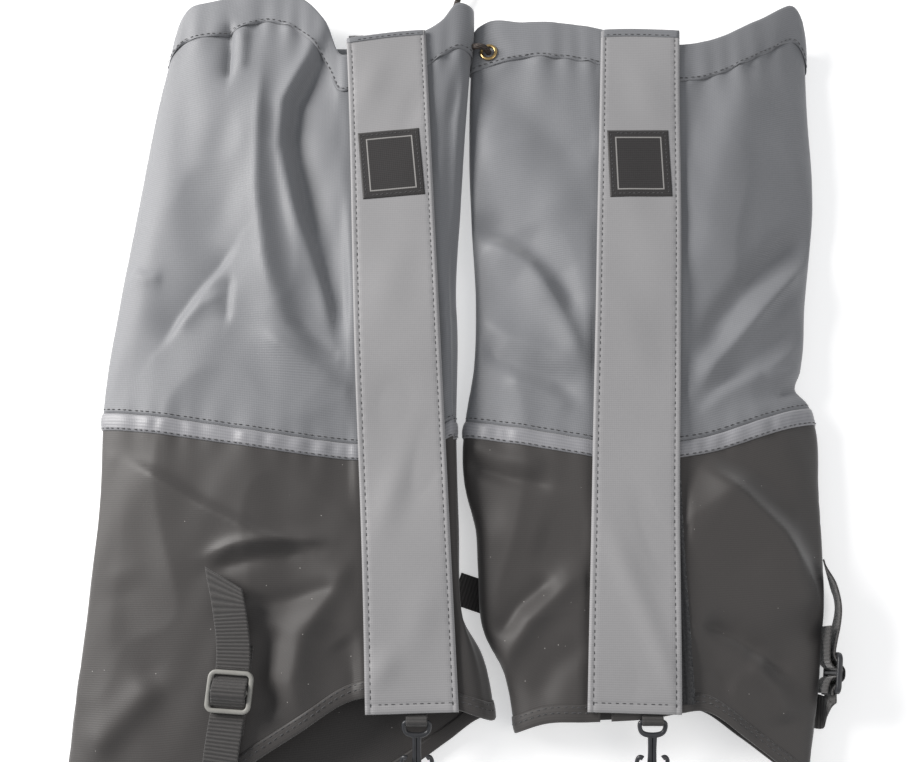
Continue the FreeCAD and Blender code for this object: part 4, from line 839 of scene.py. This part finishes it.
def mesh_from_curve(thing):
    """Turn a thick curve into a smooth mesh object with the same name."""
    bpy.context.view_layer.update()
    mesh = bpy.data.meshes.new_from_object(thing.evaluated_get(bpy.context.evaluated_depsgraph_get()))
    name = thing.name
    bpy.data.objects.remove(thing)
    mesh.polygons.foreach_set("use_smooth", [True] * len(mesh.polygons))
    solid = bpy.data.objects.new(name, mesh)
    bpy.context.scene.collection.objects.link(solid)
    return solid


for node in ("cord_lock_body", "cord_lock_plunger"):
    coat(node, dark_plastic)

# The spring: four turns of wire between the lock's floor and the plunger, which shortens it.
inward = Vector(joint("cord_lock_press")["axis"]).normalized()
coil_low, coil_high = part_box("cord_lock_spring")
coil_middle = (coil_low + coil_high) / 2
coil_rise, coil_radius, coil_wire, coil_turns = 0.0049, 0.0032, 0.00025, 4
level = inward.cross(Vector((0, 0, 1))).normalized()
coil_points = []
for i in range(coil_turns * 12 + 1):
    angle = math.pi * i / 6
    around = level * math.cos(angle) + Vector((0, 0, 1)) * math.sin(angle)
    share = i / (coil_turns * 12) - 0.5
    coil_points.append(coil_middle - inward * coil_rise * share + around * coil_radius)
coil = mesh_from_curve(cord_curve("lock_spring", coil_points, coil_wire, spring_steel))
finish_piece(coil, spring_steel, "lock", "spring_steel", "cord_lock_spring")
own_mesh(coil)

knot_low, knot_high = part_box("cord_knot")
knot_middle = (knot_low + knot_high) / 2
knot_path = []
for i in range(13):
    angle = 2 * math.pi * i / 12
    reach = 1.5 + 0.75 * math.cos(1.5 * angle)
    knot_path.append(knot_middle + Vector((reach * math.cos(angle), 1.9 * math.sin(1.5 * angle),
                                           reach * math.sin(angle))) * 0.0011)
knot = cord_curve("overhand_knot", knot_path, 0.0020, braid)
finish_piece(knot, braid, "right_gaiter", "drawcord", "cord_knot")

# ---- Storm flaps -----------------------------------------------------------------------
# A double strip of the grey nylon, sewn down along one long edge and free along the other.
# Both long edges are topstitched, the foot end is hemmed and the knee end is bound.

# Its two ends, how far in its side seams lie and how far up its foot hem is stitched.
FLAP_LOW, FLAP_HIGH = -200.0, 233.0
SEAM_IN, HEM_STITCH = 3.2, 5.2
# Soft waves: each one's place across and along, its two reaches and its height.
LEFT.waves = [(34, -78, 9, 26, 1.3), (14, -60, 8, 20, -0.9), (42, -176, 8, 10, 1.4), (20, -150, 10, 22, 0.8),
              (28, 60, 12, 30, 0.7), (38, 196, 10, 22, 0.9), (10, 176, 8, 20, -0.7), (30, -20, 12, 20, -0.8)]
RIGHT.waves = [(20, -120, 8, 24, 1.4), (36, -100, 7, 22, -1.0), (34, -150, 7, 20, 1.3),
               (44, -176, 6, 14, 1.0), (18, -176, 8, 14, -0.8), (26, 100, 14, 34, 0.8),
               (30, 190, 12, 24, 0.8), (24, 20, 12, 30, 0.7)]


def flap_top(side, a, y):
    """Height of the flap's upper face: a runs across it from the sewn edge."""
    z = 29.25 + 0 * a
    for place_a, place_y, wide, long, rise in side.waves:
        slanted = (a - place_a) + 0.35 * (y - place_y)
        z = z + rise * np.exp(-(slanted / wide) ** 2 - ((y - place_y) / long) ** 2)
    z = z + 0.35 + 0.45 * np.sin(y / 21 + 0.8 * np.sin(a / 13)) * np.sin(a / 17 + 1)
    z = np.maximum(z, 29.15)
    for seam, depth in ((SEAM_IN, 0.28), (FLAP_WIDTH - SEAM_IN, 0.34)):
        z = z - depth * np.exp(-((a - seam) / 0.7) ** 2) * (1 + 0.4 * np.sin(y / 1.27))
    z = z - 0.3 * np.exp(-((y - FLAP_LOW - HEM_STITCH) / 0.8) ** 2) * (1 + 0.4 * np.sin(a / 1.27))
    z = z - 0.9 * smooth((1.2 - a) / 1.2) - 0.5 * smooth((a - FLAP_WIDTH + 0.9) / 0.9)
    return z - 0.5 * smooth((FLAP_LOW + 0.9 - y) / 0.9)


def flap_points(side, a, y, lift=0.0):
    edge = side.lean * y + 0.5 * np.sin(y / 47 + (side is LEFT)) * a / FLAP_WIDTH
    slope = 6.0 if side is LEFT else 0.0
    end = (0.9 * np.sin(a / 16 + 0.5) - slope * a / FLAP_WIDTH) * smooth((y - 60) / 170)
    end = end - 1.5 * (a / FLAP_WIDTH) * smooth((-150 - y) / 50)
    return side.place(edge + a, y + end, flap_top(side, a, y) + lift)


def flap_piece(name, side, across, along, lift, thickness, material, slot, *nodes):
    a, y = np.meshgrid(across, along)
    thing = front_grid(name, side, flap_points(side, a, y, lift), a, y)
    return finish_piece(thicken(thing, thickness), material, side.name + "_flap", slot, *nodes)


flap_nylon = cloth("flap nylon", (0.325, 0.32, 0.325), (0.268, 0.264, 0.27), 0.55, 780, 900, 0.07, sheen=0.25)
edge_columns = [0.0, 0.25, 0.6, 1.2, 2.0, 2.7, 3.2, 3.7, 4.4]
flap_columns = (edge_columns + list(np.linspace(6.4, FLAP_WIDTH - 6.4, 22))
                + [FLAP_WIDTH - v for v in edge_columns[::-1]])
flap_rows = list(FLAP_LOW + np.array([0, 0.3, 0.8, 2, 3.4, 4.6, 5.2, 5.8, 7.0])) + list(
    np.linspace(FLAP_LOW + 9.5, FLAP_HIGH, 330))
up_line = np.linspace(FLAP_LOW + 3.5, FLAP_HIGH - 3, 300)
for side in (LEFT, RIGHT):
    flap = flap_piece(side.name + "_storm_flap_cloth", side, flap_columns, flap_rows, 0.0, 0.9, flap_nylon,
                      "grey_nylon", side.name + "_storm_flap")
    binding_height = 3.0 if side is LEFT else 5.0
    flap_piece(side.name + "_flap_binding", side, np.linspace(0.3, FLAP_WIDTH - 0.3, 24),
               np.linspace(FLAP_HIGH - binding_height, FLAP_HIGH + 0.6, 5), 0.35, 1.6, grey_nylon,
               "grey_nylon")
    normals = np.tile([0, 0, 1.0], (len(up_line), 1))
    foot_line = np.linspace(SEAM_IN, FLAP_WIDTH - SEAM_IN, 40)
    lines = [(flap_points(side, 0 * up_line + a, up_line, 0.05), normals)
             for a in (SEAM_IN, FLAP_WIDTH - SEAM_IN)]
    for seam_y, lift in ((FLAP_LOW + HEM_STITCH, 0.05), (FLAP_HIGH - binding_height + 1.4, 0.45)):
        lines.append((flap_points(side, foot_line, 0 * foot_line + seam_y, lift), normals[:len(foot_line)]))
    stitches(side.name + "_flap_stitches", side.name + "_flap", "webbing", lines)

# ---- Hook and loop tapes ---------------------------------------------------------------
# Fuzzy loop tape is sewn along the front beside the opening and stiff hook tape under the
# flap's free side. The loop tape stands a little past the flap near the foot.

pile = cloth("loop pile", (0.03, 0.03, 0.032), (0.008, 0.008, 0.009), 0.9, 350, 420, 0.9, break_up=1.6,
             sheen=0.5)
hook_pile = cloth("hook pile", (0.022, 0.022, 0.024), (0.006, 0.006, 0.006), 0.8, 900, 900, 0.6, break_up=0.5)
LEFT.tape_start = curve([(-196, 17.3), (231, 39.3)])
RIGHT.tape_start = curve([(-196, 27), (-70, 25.6), (40, 28.5), (231, 34.8)])
TAPE_WIDTH = 24
for side in (LEFT, RIGHT):
    a = np.linspace(0, TAPE_WIDTH, 17)
    across, along = np.meshgrid(a, np.linspace(-196, 231, 340))
    fuzz = 0.16 * np.sin(across * 9.1 + along * 3.7) * np.sin(along * 5.3 + across * 2.1)
    top = 27.15 + fuzz - 0.5 * smooth((0.8 - across) / 0.8) - 0.5 * smooth((across - TAPE_WIDTH + 0.8) / 0.8)
    tape = front_grid(side.name + "_loop_pile", side, side.place(side.tape_start(along) + across, along, top),
                      across, along)
    finish_piece(thicken(tape, 0.9), pile, side.name + "_gaiter", "hook_loop", side.name + "_loop_tape")
    across, along = np.meshgrid(a, np.linspace(-193, 224, 200))
    under_flap = side.place(side.lean * along + 25.5 + across, along, 28.3 + 0 * along)
    hooks = front_grid(side.name + "_hook_pile", side, under_flap, across, along)
    finish_piece(thicken(hooks, 0.7), hook_pile, side.name + "_flap", "hook_loop", side.name + "_hook_tape")

# ---- Labels ----------------------------------------------------------------------------
# A square black woven patch on each flap, stitched down all round. It is left plain but
# for a fine woven border line.

LABEL_WIDE, LABEL_TALL = 39.5, 46.5
label_cloth = cloth("woven label", (0.034, 0.031, 0.031), (0.010, 0.009, 0.009), 0.55, 780, 780, 0.10,
                    sheen=0.2)
label_tree = label_cloth.node_tree
label_shader = label_tree.nodes["Principled BSDF"]
label_uv = add(label_tree, "SeparateXYZ", {0: add(label_tree, "UVMap", uv_map="cloth").outputs[0]})
frame_gap, stitch_in = 5.2, 2.2
to_frame = [math_node(label_tree, "SUBTRACT", math_node(label_tree, "ABSOLUTE", label_uv.outputs[k]),
                      (across / 2 - frame_gap) / 1000) for k, across in ((0, LABEL_WIDE), (1, LABEL_TALL))]
frame_line = math_node(label_tree, "ABSOLUTE", math_node(label_tree, "MAXIMUM", *to_frame))
on_line = math_node(label_tree, "LESS_THAN", frame_line, 0.0004)
plain_weave = label_shader.inputs["Base Color"].links[0].from_socket
framed = add(label_tree, "MixRGB", {0: on_line, 1: plain_weave, 2: (0.3, 0.29, 0.28, 1)})
feed(label_tree, label_shader.inputs["Base Color"], framed.outputs[0])
for side, turn in ((LEFT, 5.5), (RIGHT, 0.5)):
    low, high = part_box(side.name + "_label")
    middle = (low + high) * 500
    middle_u = (middle.x - side.x0) * side.sign
    middle_y = middle.y - side.y0 + 3.0
    turn = math.radians(turn) * side.sign

    def on_label(s, t, lift):
        u = middle_u + s * math.cos(turn) - t * math.sin(turn)
        y = middle_y + s * math.sin(turn) + t * math.cos(turn)
        return side.place(u, y, flap_top(side, u - side.lean * y, y) + lift)

    half_wide, half_tall = LABEL_WIDE / 2, LABEL_TALL / 2
    s, t = np.meshgrid(np.linspace(-half_wide, half_wide, 42), np.linspace(-half_tall, half_tall, 44))
    inset = np.minimum(half_wide - np.abs(s), half_tall - np.abs(t))
    lift = 0.5 - 0.16 * np.exp(-((inset - stitch_in) / 0.8) ** 2) - 0.25 * smooth((0.6 - inset) / 0.6)
    patch = front_grid(side.name + "_patch", side, on_label(s, t, lift), s, t)
    finish_piece(thicken(patch, 0.5), label_cloth, side.name + "_flap", "woven_label", side.name + "_label")
    corners = [(-1, -1), (1, -1), (1, 1), (-1, 1), (-1, -1)]
    lines = []
    for (s0, t0), (s1, t1) in zip(corners, corners[1:]):
        s = np.linspace(s0, s1, 24) * (half_wide - stitch_in)
        t = np.linspace(t0, t1, 24) * (half_tall - stitch_in)
        lines.append((on_label(s, t, 0.42), np.tile([0, 0, 1.0], (24, 1))))
    stitches(side.name + "_label_stitches", side.name + "_flap", "woven_label", lines, 2.0, 1.0, 0.6)

# ---- Instep strap, buckle and webbing loops --------------------------------------------
# Ribbed nylon webbing. A short loop sewn to the lower panel holds a moulded slide buckle;
# the instep strap weaves through it and its cut end lies free above.

webbing_cloth = cloth("ribbed webbing", (0.052, 0.048, 0.046), (0.012, 0.011, 0.011), 0.62, 480, 2200, 0.45,
                      sheen=0.35)
STRAP_WIDTH, STRAP_THICK = 19.5, 1.1


def smooth_path(points, per=8):
    """Points along a smooth line through the given ones."""
    points = [np.array(p, float) for p in points]
    points = [2 * points[0] - points[1]] + points + [2 * points[-1] - points[-2]]
    line = []
    for before, start, stop, after in zip(points, points[1:], points[2:], points[3:]):
        for i in range(per):
            t = i / per
            bend = 2 * before - 5 * start + 4 * stop - after
            twist = 3 * start - before - 3 * stop + after
            line.append(0.5 * (2 * start + (stop - before) * t + bend * t ** 2 + twist * t ** 3))
    return np.array(line + [points[-2]])


def webbing(name, centre, across, width, thickness, slant=0.0, per=8):
    """Flat webbing along centre points, with rounded selvedges; all in millimetres."""
    centre = smooth_path(centre, per)
    across = smooth_path(across, per)
    across /= np.linalg.norm(across, axis=1, keepdims=True)
    ahead = np.gradient(centre, axis=0)
    ahead /= np.linalg.norm(ahead, axis=1, keepdims=True)
    face = np.cross(across, ahead)
    face /= np.linalg.norm(face, axis=1, keepdims=True)
    half = thickness / 2
    across_steps = np.concatenate([[-width / 2, -width / 2 + 0.15, -width / 2 + 0.5],
                                   np.linspace(-width / 2 + 1.5, width / 2 - 1.5, 9),
                                   [width / 2 - 0.5, width / 2 - 0.15, width / 2]])
    past_flat = np.clip(np.abs(across_steps) - width / 2 + 0.5, 0, 0.5) / 0.5
    swell = np.sqrt(np.clip(1 - past_flat ** 2, 0.02, 1)) * half
    ring_a = np.concatenate([across_steps, across_steps[::-1]])
    ring_n = np.concatenate([swell, -swell[::-1]])
    run = np.concatenate([[0], np.cumsum(np.linalg.norm(centre[1:] - centre[:-1], axis=1))])
    vertices, uvs = [], []
    for i, point in enumerate(centre):
        cut = slant * smooth((run[i] - run[-1] + 14) / 14) * (ring_a / width - 0.5)
        ring = point + across[i] * ring_a[:, None] + face[i] * ring_n[:, None] + ahead[i] * cut[:, None]
        vertices.append(ring)
        uvs.append(np.stack([ring_a, 0 * ring_a + run[i]], -1))
    count = len(ring_a)
    faces = []
    for i in range(len(centre) - 1):
        near, far = i * count, (i + 1) * count
        faces += [(near + k, near + (k + 1) % count, far + (k + 1) % count, far + k) for k in range(count)]
    faces.append(tuple(range(count))[::-1])
    faces.append(tuple(range((len(centre) - 1) * count, len(centre) * count)))
    return link(name, np.concatenate(vertices) / 1000, faces, np.concatenate(uvs) / 1000)


class Slide:
    """The buckle's own directions: across it, along the strap and out from the cloth."""

    def __init__(self, side):
        tilt, lift = joint(side.name + "_buckle_tilt"), joint(side.name + "_tail_lift")
        self.pivot = np.array(tilt["pos_m"]) * 1000
        self.across = np.array(tilt["axis"], float)
        offset = np.array(lift["pos_m"]) * 1000 - self.pivot
        self.tail_along, self.tail_out = 13.05, -2.25
        turned = np.cross(self.across, offset)
        along = self.tail_along * offset - self.tail_out * turned
        self.along = along / np.linalg.norm(along)
        self.out = np.cross(self.across, self.along)

    def at(self, a, b, c):
        return self.pivot + self.across * a + self.along * b + self.out * c


def slide_ring(name, slide):
    """The moulded frame with rounded corners and the round bar across its middle."""
    half_wide, half_long, corner = 25.9 / 2 - 1.3, 23.5 / 2 - 1.3, 3.4
    centres = []
    for sx, sy, start in ((1, 1, 0), (-1, 1, 90), (-1, -1, 180), (1, -1, 270)):
        for step in range(9):
            angle = math.radians(start + step * 90 / 8)
            centres.append((sx * (half_wide - corner) + corner * math.cos(angle),
                            sy * (half_long - corner) + corner * math.sin(angle), angle))
    vertices, faces = [], []
    profile = [(1.3 * math.copysign(abs(math.cos(q)) ** 0.6, math.cos(q)),
                1.5 * math.copysign(abs(math.sin(q)) ** 0.6, math.sin(q)))
               for q in (2 * math.pi * k / 16 for k in range(16))]
    for a, b, angle in centres:
        for radial, rise in profile:
            vertices.append(slide.at(a + radial * math.cos(angle), b + radial * math.sin(angle), rise) / 1000)
    rings = len(centres)
    for i in range(rings):
        for k in range(16):
            n, j = (k + 1) % 16, (i + 1) % rings
            faces.append((i * 16 + k, j * 16 + k, j * 16 + n, i * 16 + n))
    first = len(vertices)
    stations = [(-11.2, 1.3), (-10.0, 1.2), (0.0, 1.2), (10.0, 1.2), (11.2, 1.3)]
    for a, radius in stations:
        for k in range(16):
            q = 2 * math.pi * k / 16
            vertices.append(slide.at(a, radius * math.cos(q), radius * math.sin(q)) / 1000)
    for i in range(len(stations) - 1):
        for k in range(16):
            n = (k + 1) % 16
            near = first + i * 16
            faces.append((near + k, near + n, near + 16 + n, near + 16 + k))
    return link(name, vertices, faces)


for side in (LEFT, RIGHT):
    slide = Slide(side)
    ring = slide_ring(side.name + "_slide_buckle", slide)
    # The left buckle takes the paler copy of the black acetal, which paints light on it; the right one stays
    # plain black.
    finish_piece(ring, lit_buckle_plastic if side is LEFT else dark_plastic, side.name + "_buckle_body",
                 "grey_acetal", side.name + "_buckle")
    below = 23 if side is LEFT else 12
    loop = [(-below, -5.35), (-9, -5.3), (-4.4, -3.9), (-2.5, -1.0), (-1.6, 1.35), (0, 2.0), (1.6, 1.35),
            (2.5, -1.0), (4.4, -3.9), (10, -5.3), (26, -5.35)]
    tab = webbing(side.name + "_anchor_loop", [slide.at(0, b, c) for b, c in loop],
                  [slide.across] * len(loop), STRAP_WIDTH, 1.0)
    finish_piece(tab, webbing_cloth, side.name + "_gaiter", "webbing", side.name + "_anchor_tab")
    woven = [(-12.6, -2.25), (-9.4, -2.1), (-6.0, 0.6), (-2.7, 3.35), (0, 3.75), (2.7, 3.35), (6.0, 0.6),
             (9.4, -2.1), (12.8, -2.25)]
    weave_through = webbing(side.name + "_woven_strap", [slide.at(0, b, c) for b, c in woven],
                            [slide.across] * len(woven), STRAP_WIDTH, STRAP_THICK)
    finish_piece(weave_through, webbing_cloth, side.name + "_buckle_body", "webbing",
                 side.name + "_strap_in_buckle")
    twist, sway = (0.03, -9.0) if side is LEFT else (0.05, 0.0)
    tail = [(12.7, -2.25), (20, -2.3), (30, -1.9), (40, -1.2), (48, -1.0), (55, -1.3)]
    if side is RIGHT:
        tail = [(12.7, -2.25), (19, -1.0), (27, 0.6), (36, 1.4), (43, 0.2), (49, -2.6)]
    tail_across = [slide.across - slide.along * sway * 0.0045 * k + slide.out * twist * k
                   for k in range(len(tail))]
    tail_line = [slide.at(sway * ((b - 12.7) / 42) ** 1.6, b, c) for b, c in tail]
    free_end = webbing(side.name + "_free_end", tail_line, tail_across, STRAP_WIDTH, STRAP_THICK, -16)
    finish_piece(free_end, webbing_cloth, side.name + "_tail", "webbing", side.name + "_strap_tail")

# The left strap runs down from its buckle, over the foot edge and back under the gaiter.
# Each station is steps from the buckle's end (x, y) and a height, then its width's direction.
strap_start = (-136.9, -185.2)
left_steps = [((0, 0, 29.75), (1, -0.07, 0)), ((-2.5, -24.2, 29.75), (0.99, -0.14, 0)),
              ((-4, -50.2, 28.25), (0.99, -0.12, 0)), ((-3.5, -60.2, 21.75), (0.98, -0.18, 0)),
              ((-1, -63.2, 12.75), (0.96, -0.28, 0)), ((4, -57.2, 3.55), (0.90, -0.42, 0)),
              ((14, -44.2, 0.55), (0.84, -0.54, 0)), ((40, -12.2, 0.55), (0.78, -0.62, 0)),
              ((76, 29.8, 0.55), (0.76, -0.65, 0))]
left_strap = [((strap_start[0] + x, strap_start[1] + y, z), width) for (x, y, z), width in left_steps]
# The right strap turns over its gaiter's outer side and runs straight across underneath.
right_strap = [((206.9, -174.8, 13.5), (0, 0, -1)), ((206.5, -180.5, 13.2), (0, -0.1, -1)),
               ((205.9, -185.0, 10.0), (0, -0.6, -0.8)), ((204.6, -185.4, 4.6), (-0.05, -0.95, -0.3)),
               ((199.0, -184.0, 1.3), (-0.22, -0.97, 0)), ((185.0, -179.3, 0.6), (-0.33, -0.94, 0)),
               ((120.0, -157.2, 0.6), (-0.33, -0.94, 0)), ((50.0, -133.6, 0.6), (-0.33, -0.94, 0)),
               ((1.2, -117.2, 0.6), (-0.33, -0.94, 0)), ((-9.0, -113.8, 0.6), (-0.33, -0.94, 0))]
for side, stations in ((LEFT, left_strap), (RIGHT, right_strap)):
    strap = webbing(side.name + "_underfoot_strap", [p for p, _ in stations], [w for _, w in stations],
                    STRAP_WIDTH, STRAP_THICK)
    finish_piece(strap, webbing_cloth, side.name + "_gaiter", "webbing", side.name + "_instep_strap")

# ---- Lace hooks ------------------------------------------------------------------------
# A moulded acetal hook hangs from a webbing loop at the flap's foot end: a slotted head,
# a stem and two turned-up flukes that catch the boot lace.

# Each line is (closed, points): across, along, raised and thickness share of a point.
hook_lines = [
    (True, [(-7.0, 0, 0, 1), (0, 0, 0, 1), (7.0, 0, 0, 1), (7.4, -3.2, 0, 1), (6.2, -6.6, 0, 1.05),
            (2.6, -8.0, 0, 1.2), (-2.6, -8.0, 0, 1.2), (-6.2, -6.6, 0, 1.05), (-7.4, -3.2, 0, 1)]),
    (False, [(-1.3, -7.4, 0, 1.1), (-1.2, -12, 0, 1.0), (-1.1, -20, 0, 1.0), (-1.4, -27, 0, 1.1)]),
    (False, [(1.3, -7.4, 0, 1.1), (1.2, -12, 0, 1.0), (1.1, -20, 0, 1.0), (1.4, -27, 0, 1.1)]),
    (False, [(0, -27.2, 0, 1.25), (3.4, -28.6, 0, 1.1), (7.6, -27.6, 0.2, 1.0), (9.0, -22.8, 0.8, 0.95),
             (7.2, -19.4, 1.4, 1.0), (5.6, -20.6, 1.8, 1.15)]),
    (False, [(0, -27.2, 0, 1.25), (-3.4, -28.6, 0, 1.1), (-7.6, -27.6, 0.2, 1.0), (-9.0, -22.8, 0.8, 0.95),
             (-7.2, -19.4, 1.4, 1.0), (-5.6, -20.6, 1.8, 1.15)]),
]
# The webbing loop round the hook's bar, from the flap down and back: along and height.
loop_line = [(38, -2.0), (20, -2.05), (6, -2.05), (1.0, -2.1), (-1.5, -1.4), (-2.1, 0.2), (-1.2, 1.7),
             (0.6, 2.0), (2.8, 1.0), (5.0, -0.6), (9, -0.95), (16, -0.95)]
droop = math.radians(20)

for side in (LEFT, RIGHT):
    x, y, z = np.array(joint(side.name + "_hook_swing")["pos_m"]) * 1000
    tab = webbing(side.name + "_hook_loop", [(x, y + b, z + c) for b, c in loop_line],
                  [(1, 0, 0)] * len(loop_line), 12.0, 0.9)
    finish_piece(tab, webbing_cloth, side.name + "_gaiter", "webbing", side.name + "_hook_tab")
    hook_shape = bpy.data.curves.new(side.name + "_moulded_hook", "CURVE")
    hook_shape.dimensions = "3D"
    hook_shape.bevel_depth = 0.0013
    hook_shape.bevel_resolution = 4
    hook_shape.use_fill_caps = True
    for closed, outline in hook_lines:
        line = hook_shape.splines.new("NURBS")
        line.points.add(len(outline) - 1)
        for control, (across, along, raised, thick) in zip(line.points, outline):
            ahead = along * math.cos(droop) - raised * math.sin(droop)
            above = along * math.sin(droop) + raised * math.cos(droop)
            control.co = ((x + across) / 1000, (y + ahead) / 1000, (z + above) / 1000, 1)
            control.radius = thick
        line.order_u = 3
        line.use_cyclic_u = closed
        line.use_endpoint_u = not closed
    hook = bpy.data.objects.new(side.name + "_moulded_hook", hook_shape)
    bpy.context.scene.collection.objects.link(hook)
    finish_piece(mesh_from_curve(hook), dark_plastic, side.name + "_hook", "dark_acetal",
                 side.name + "_lace_hook")
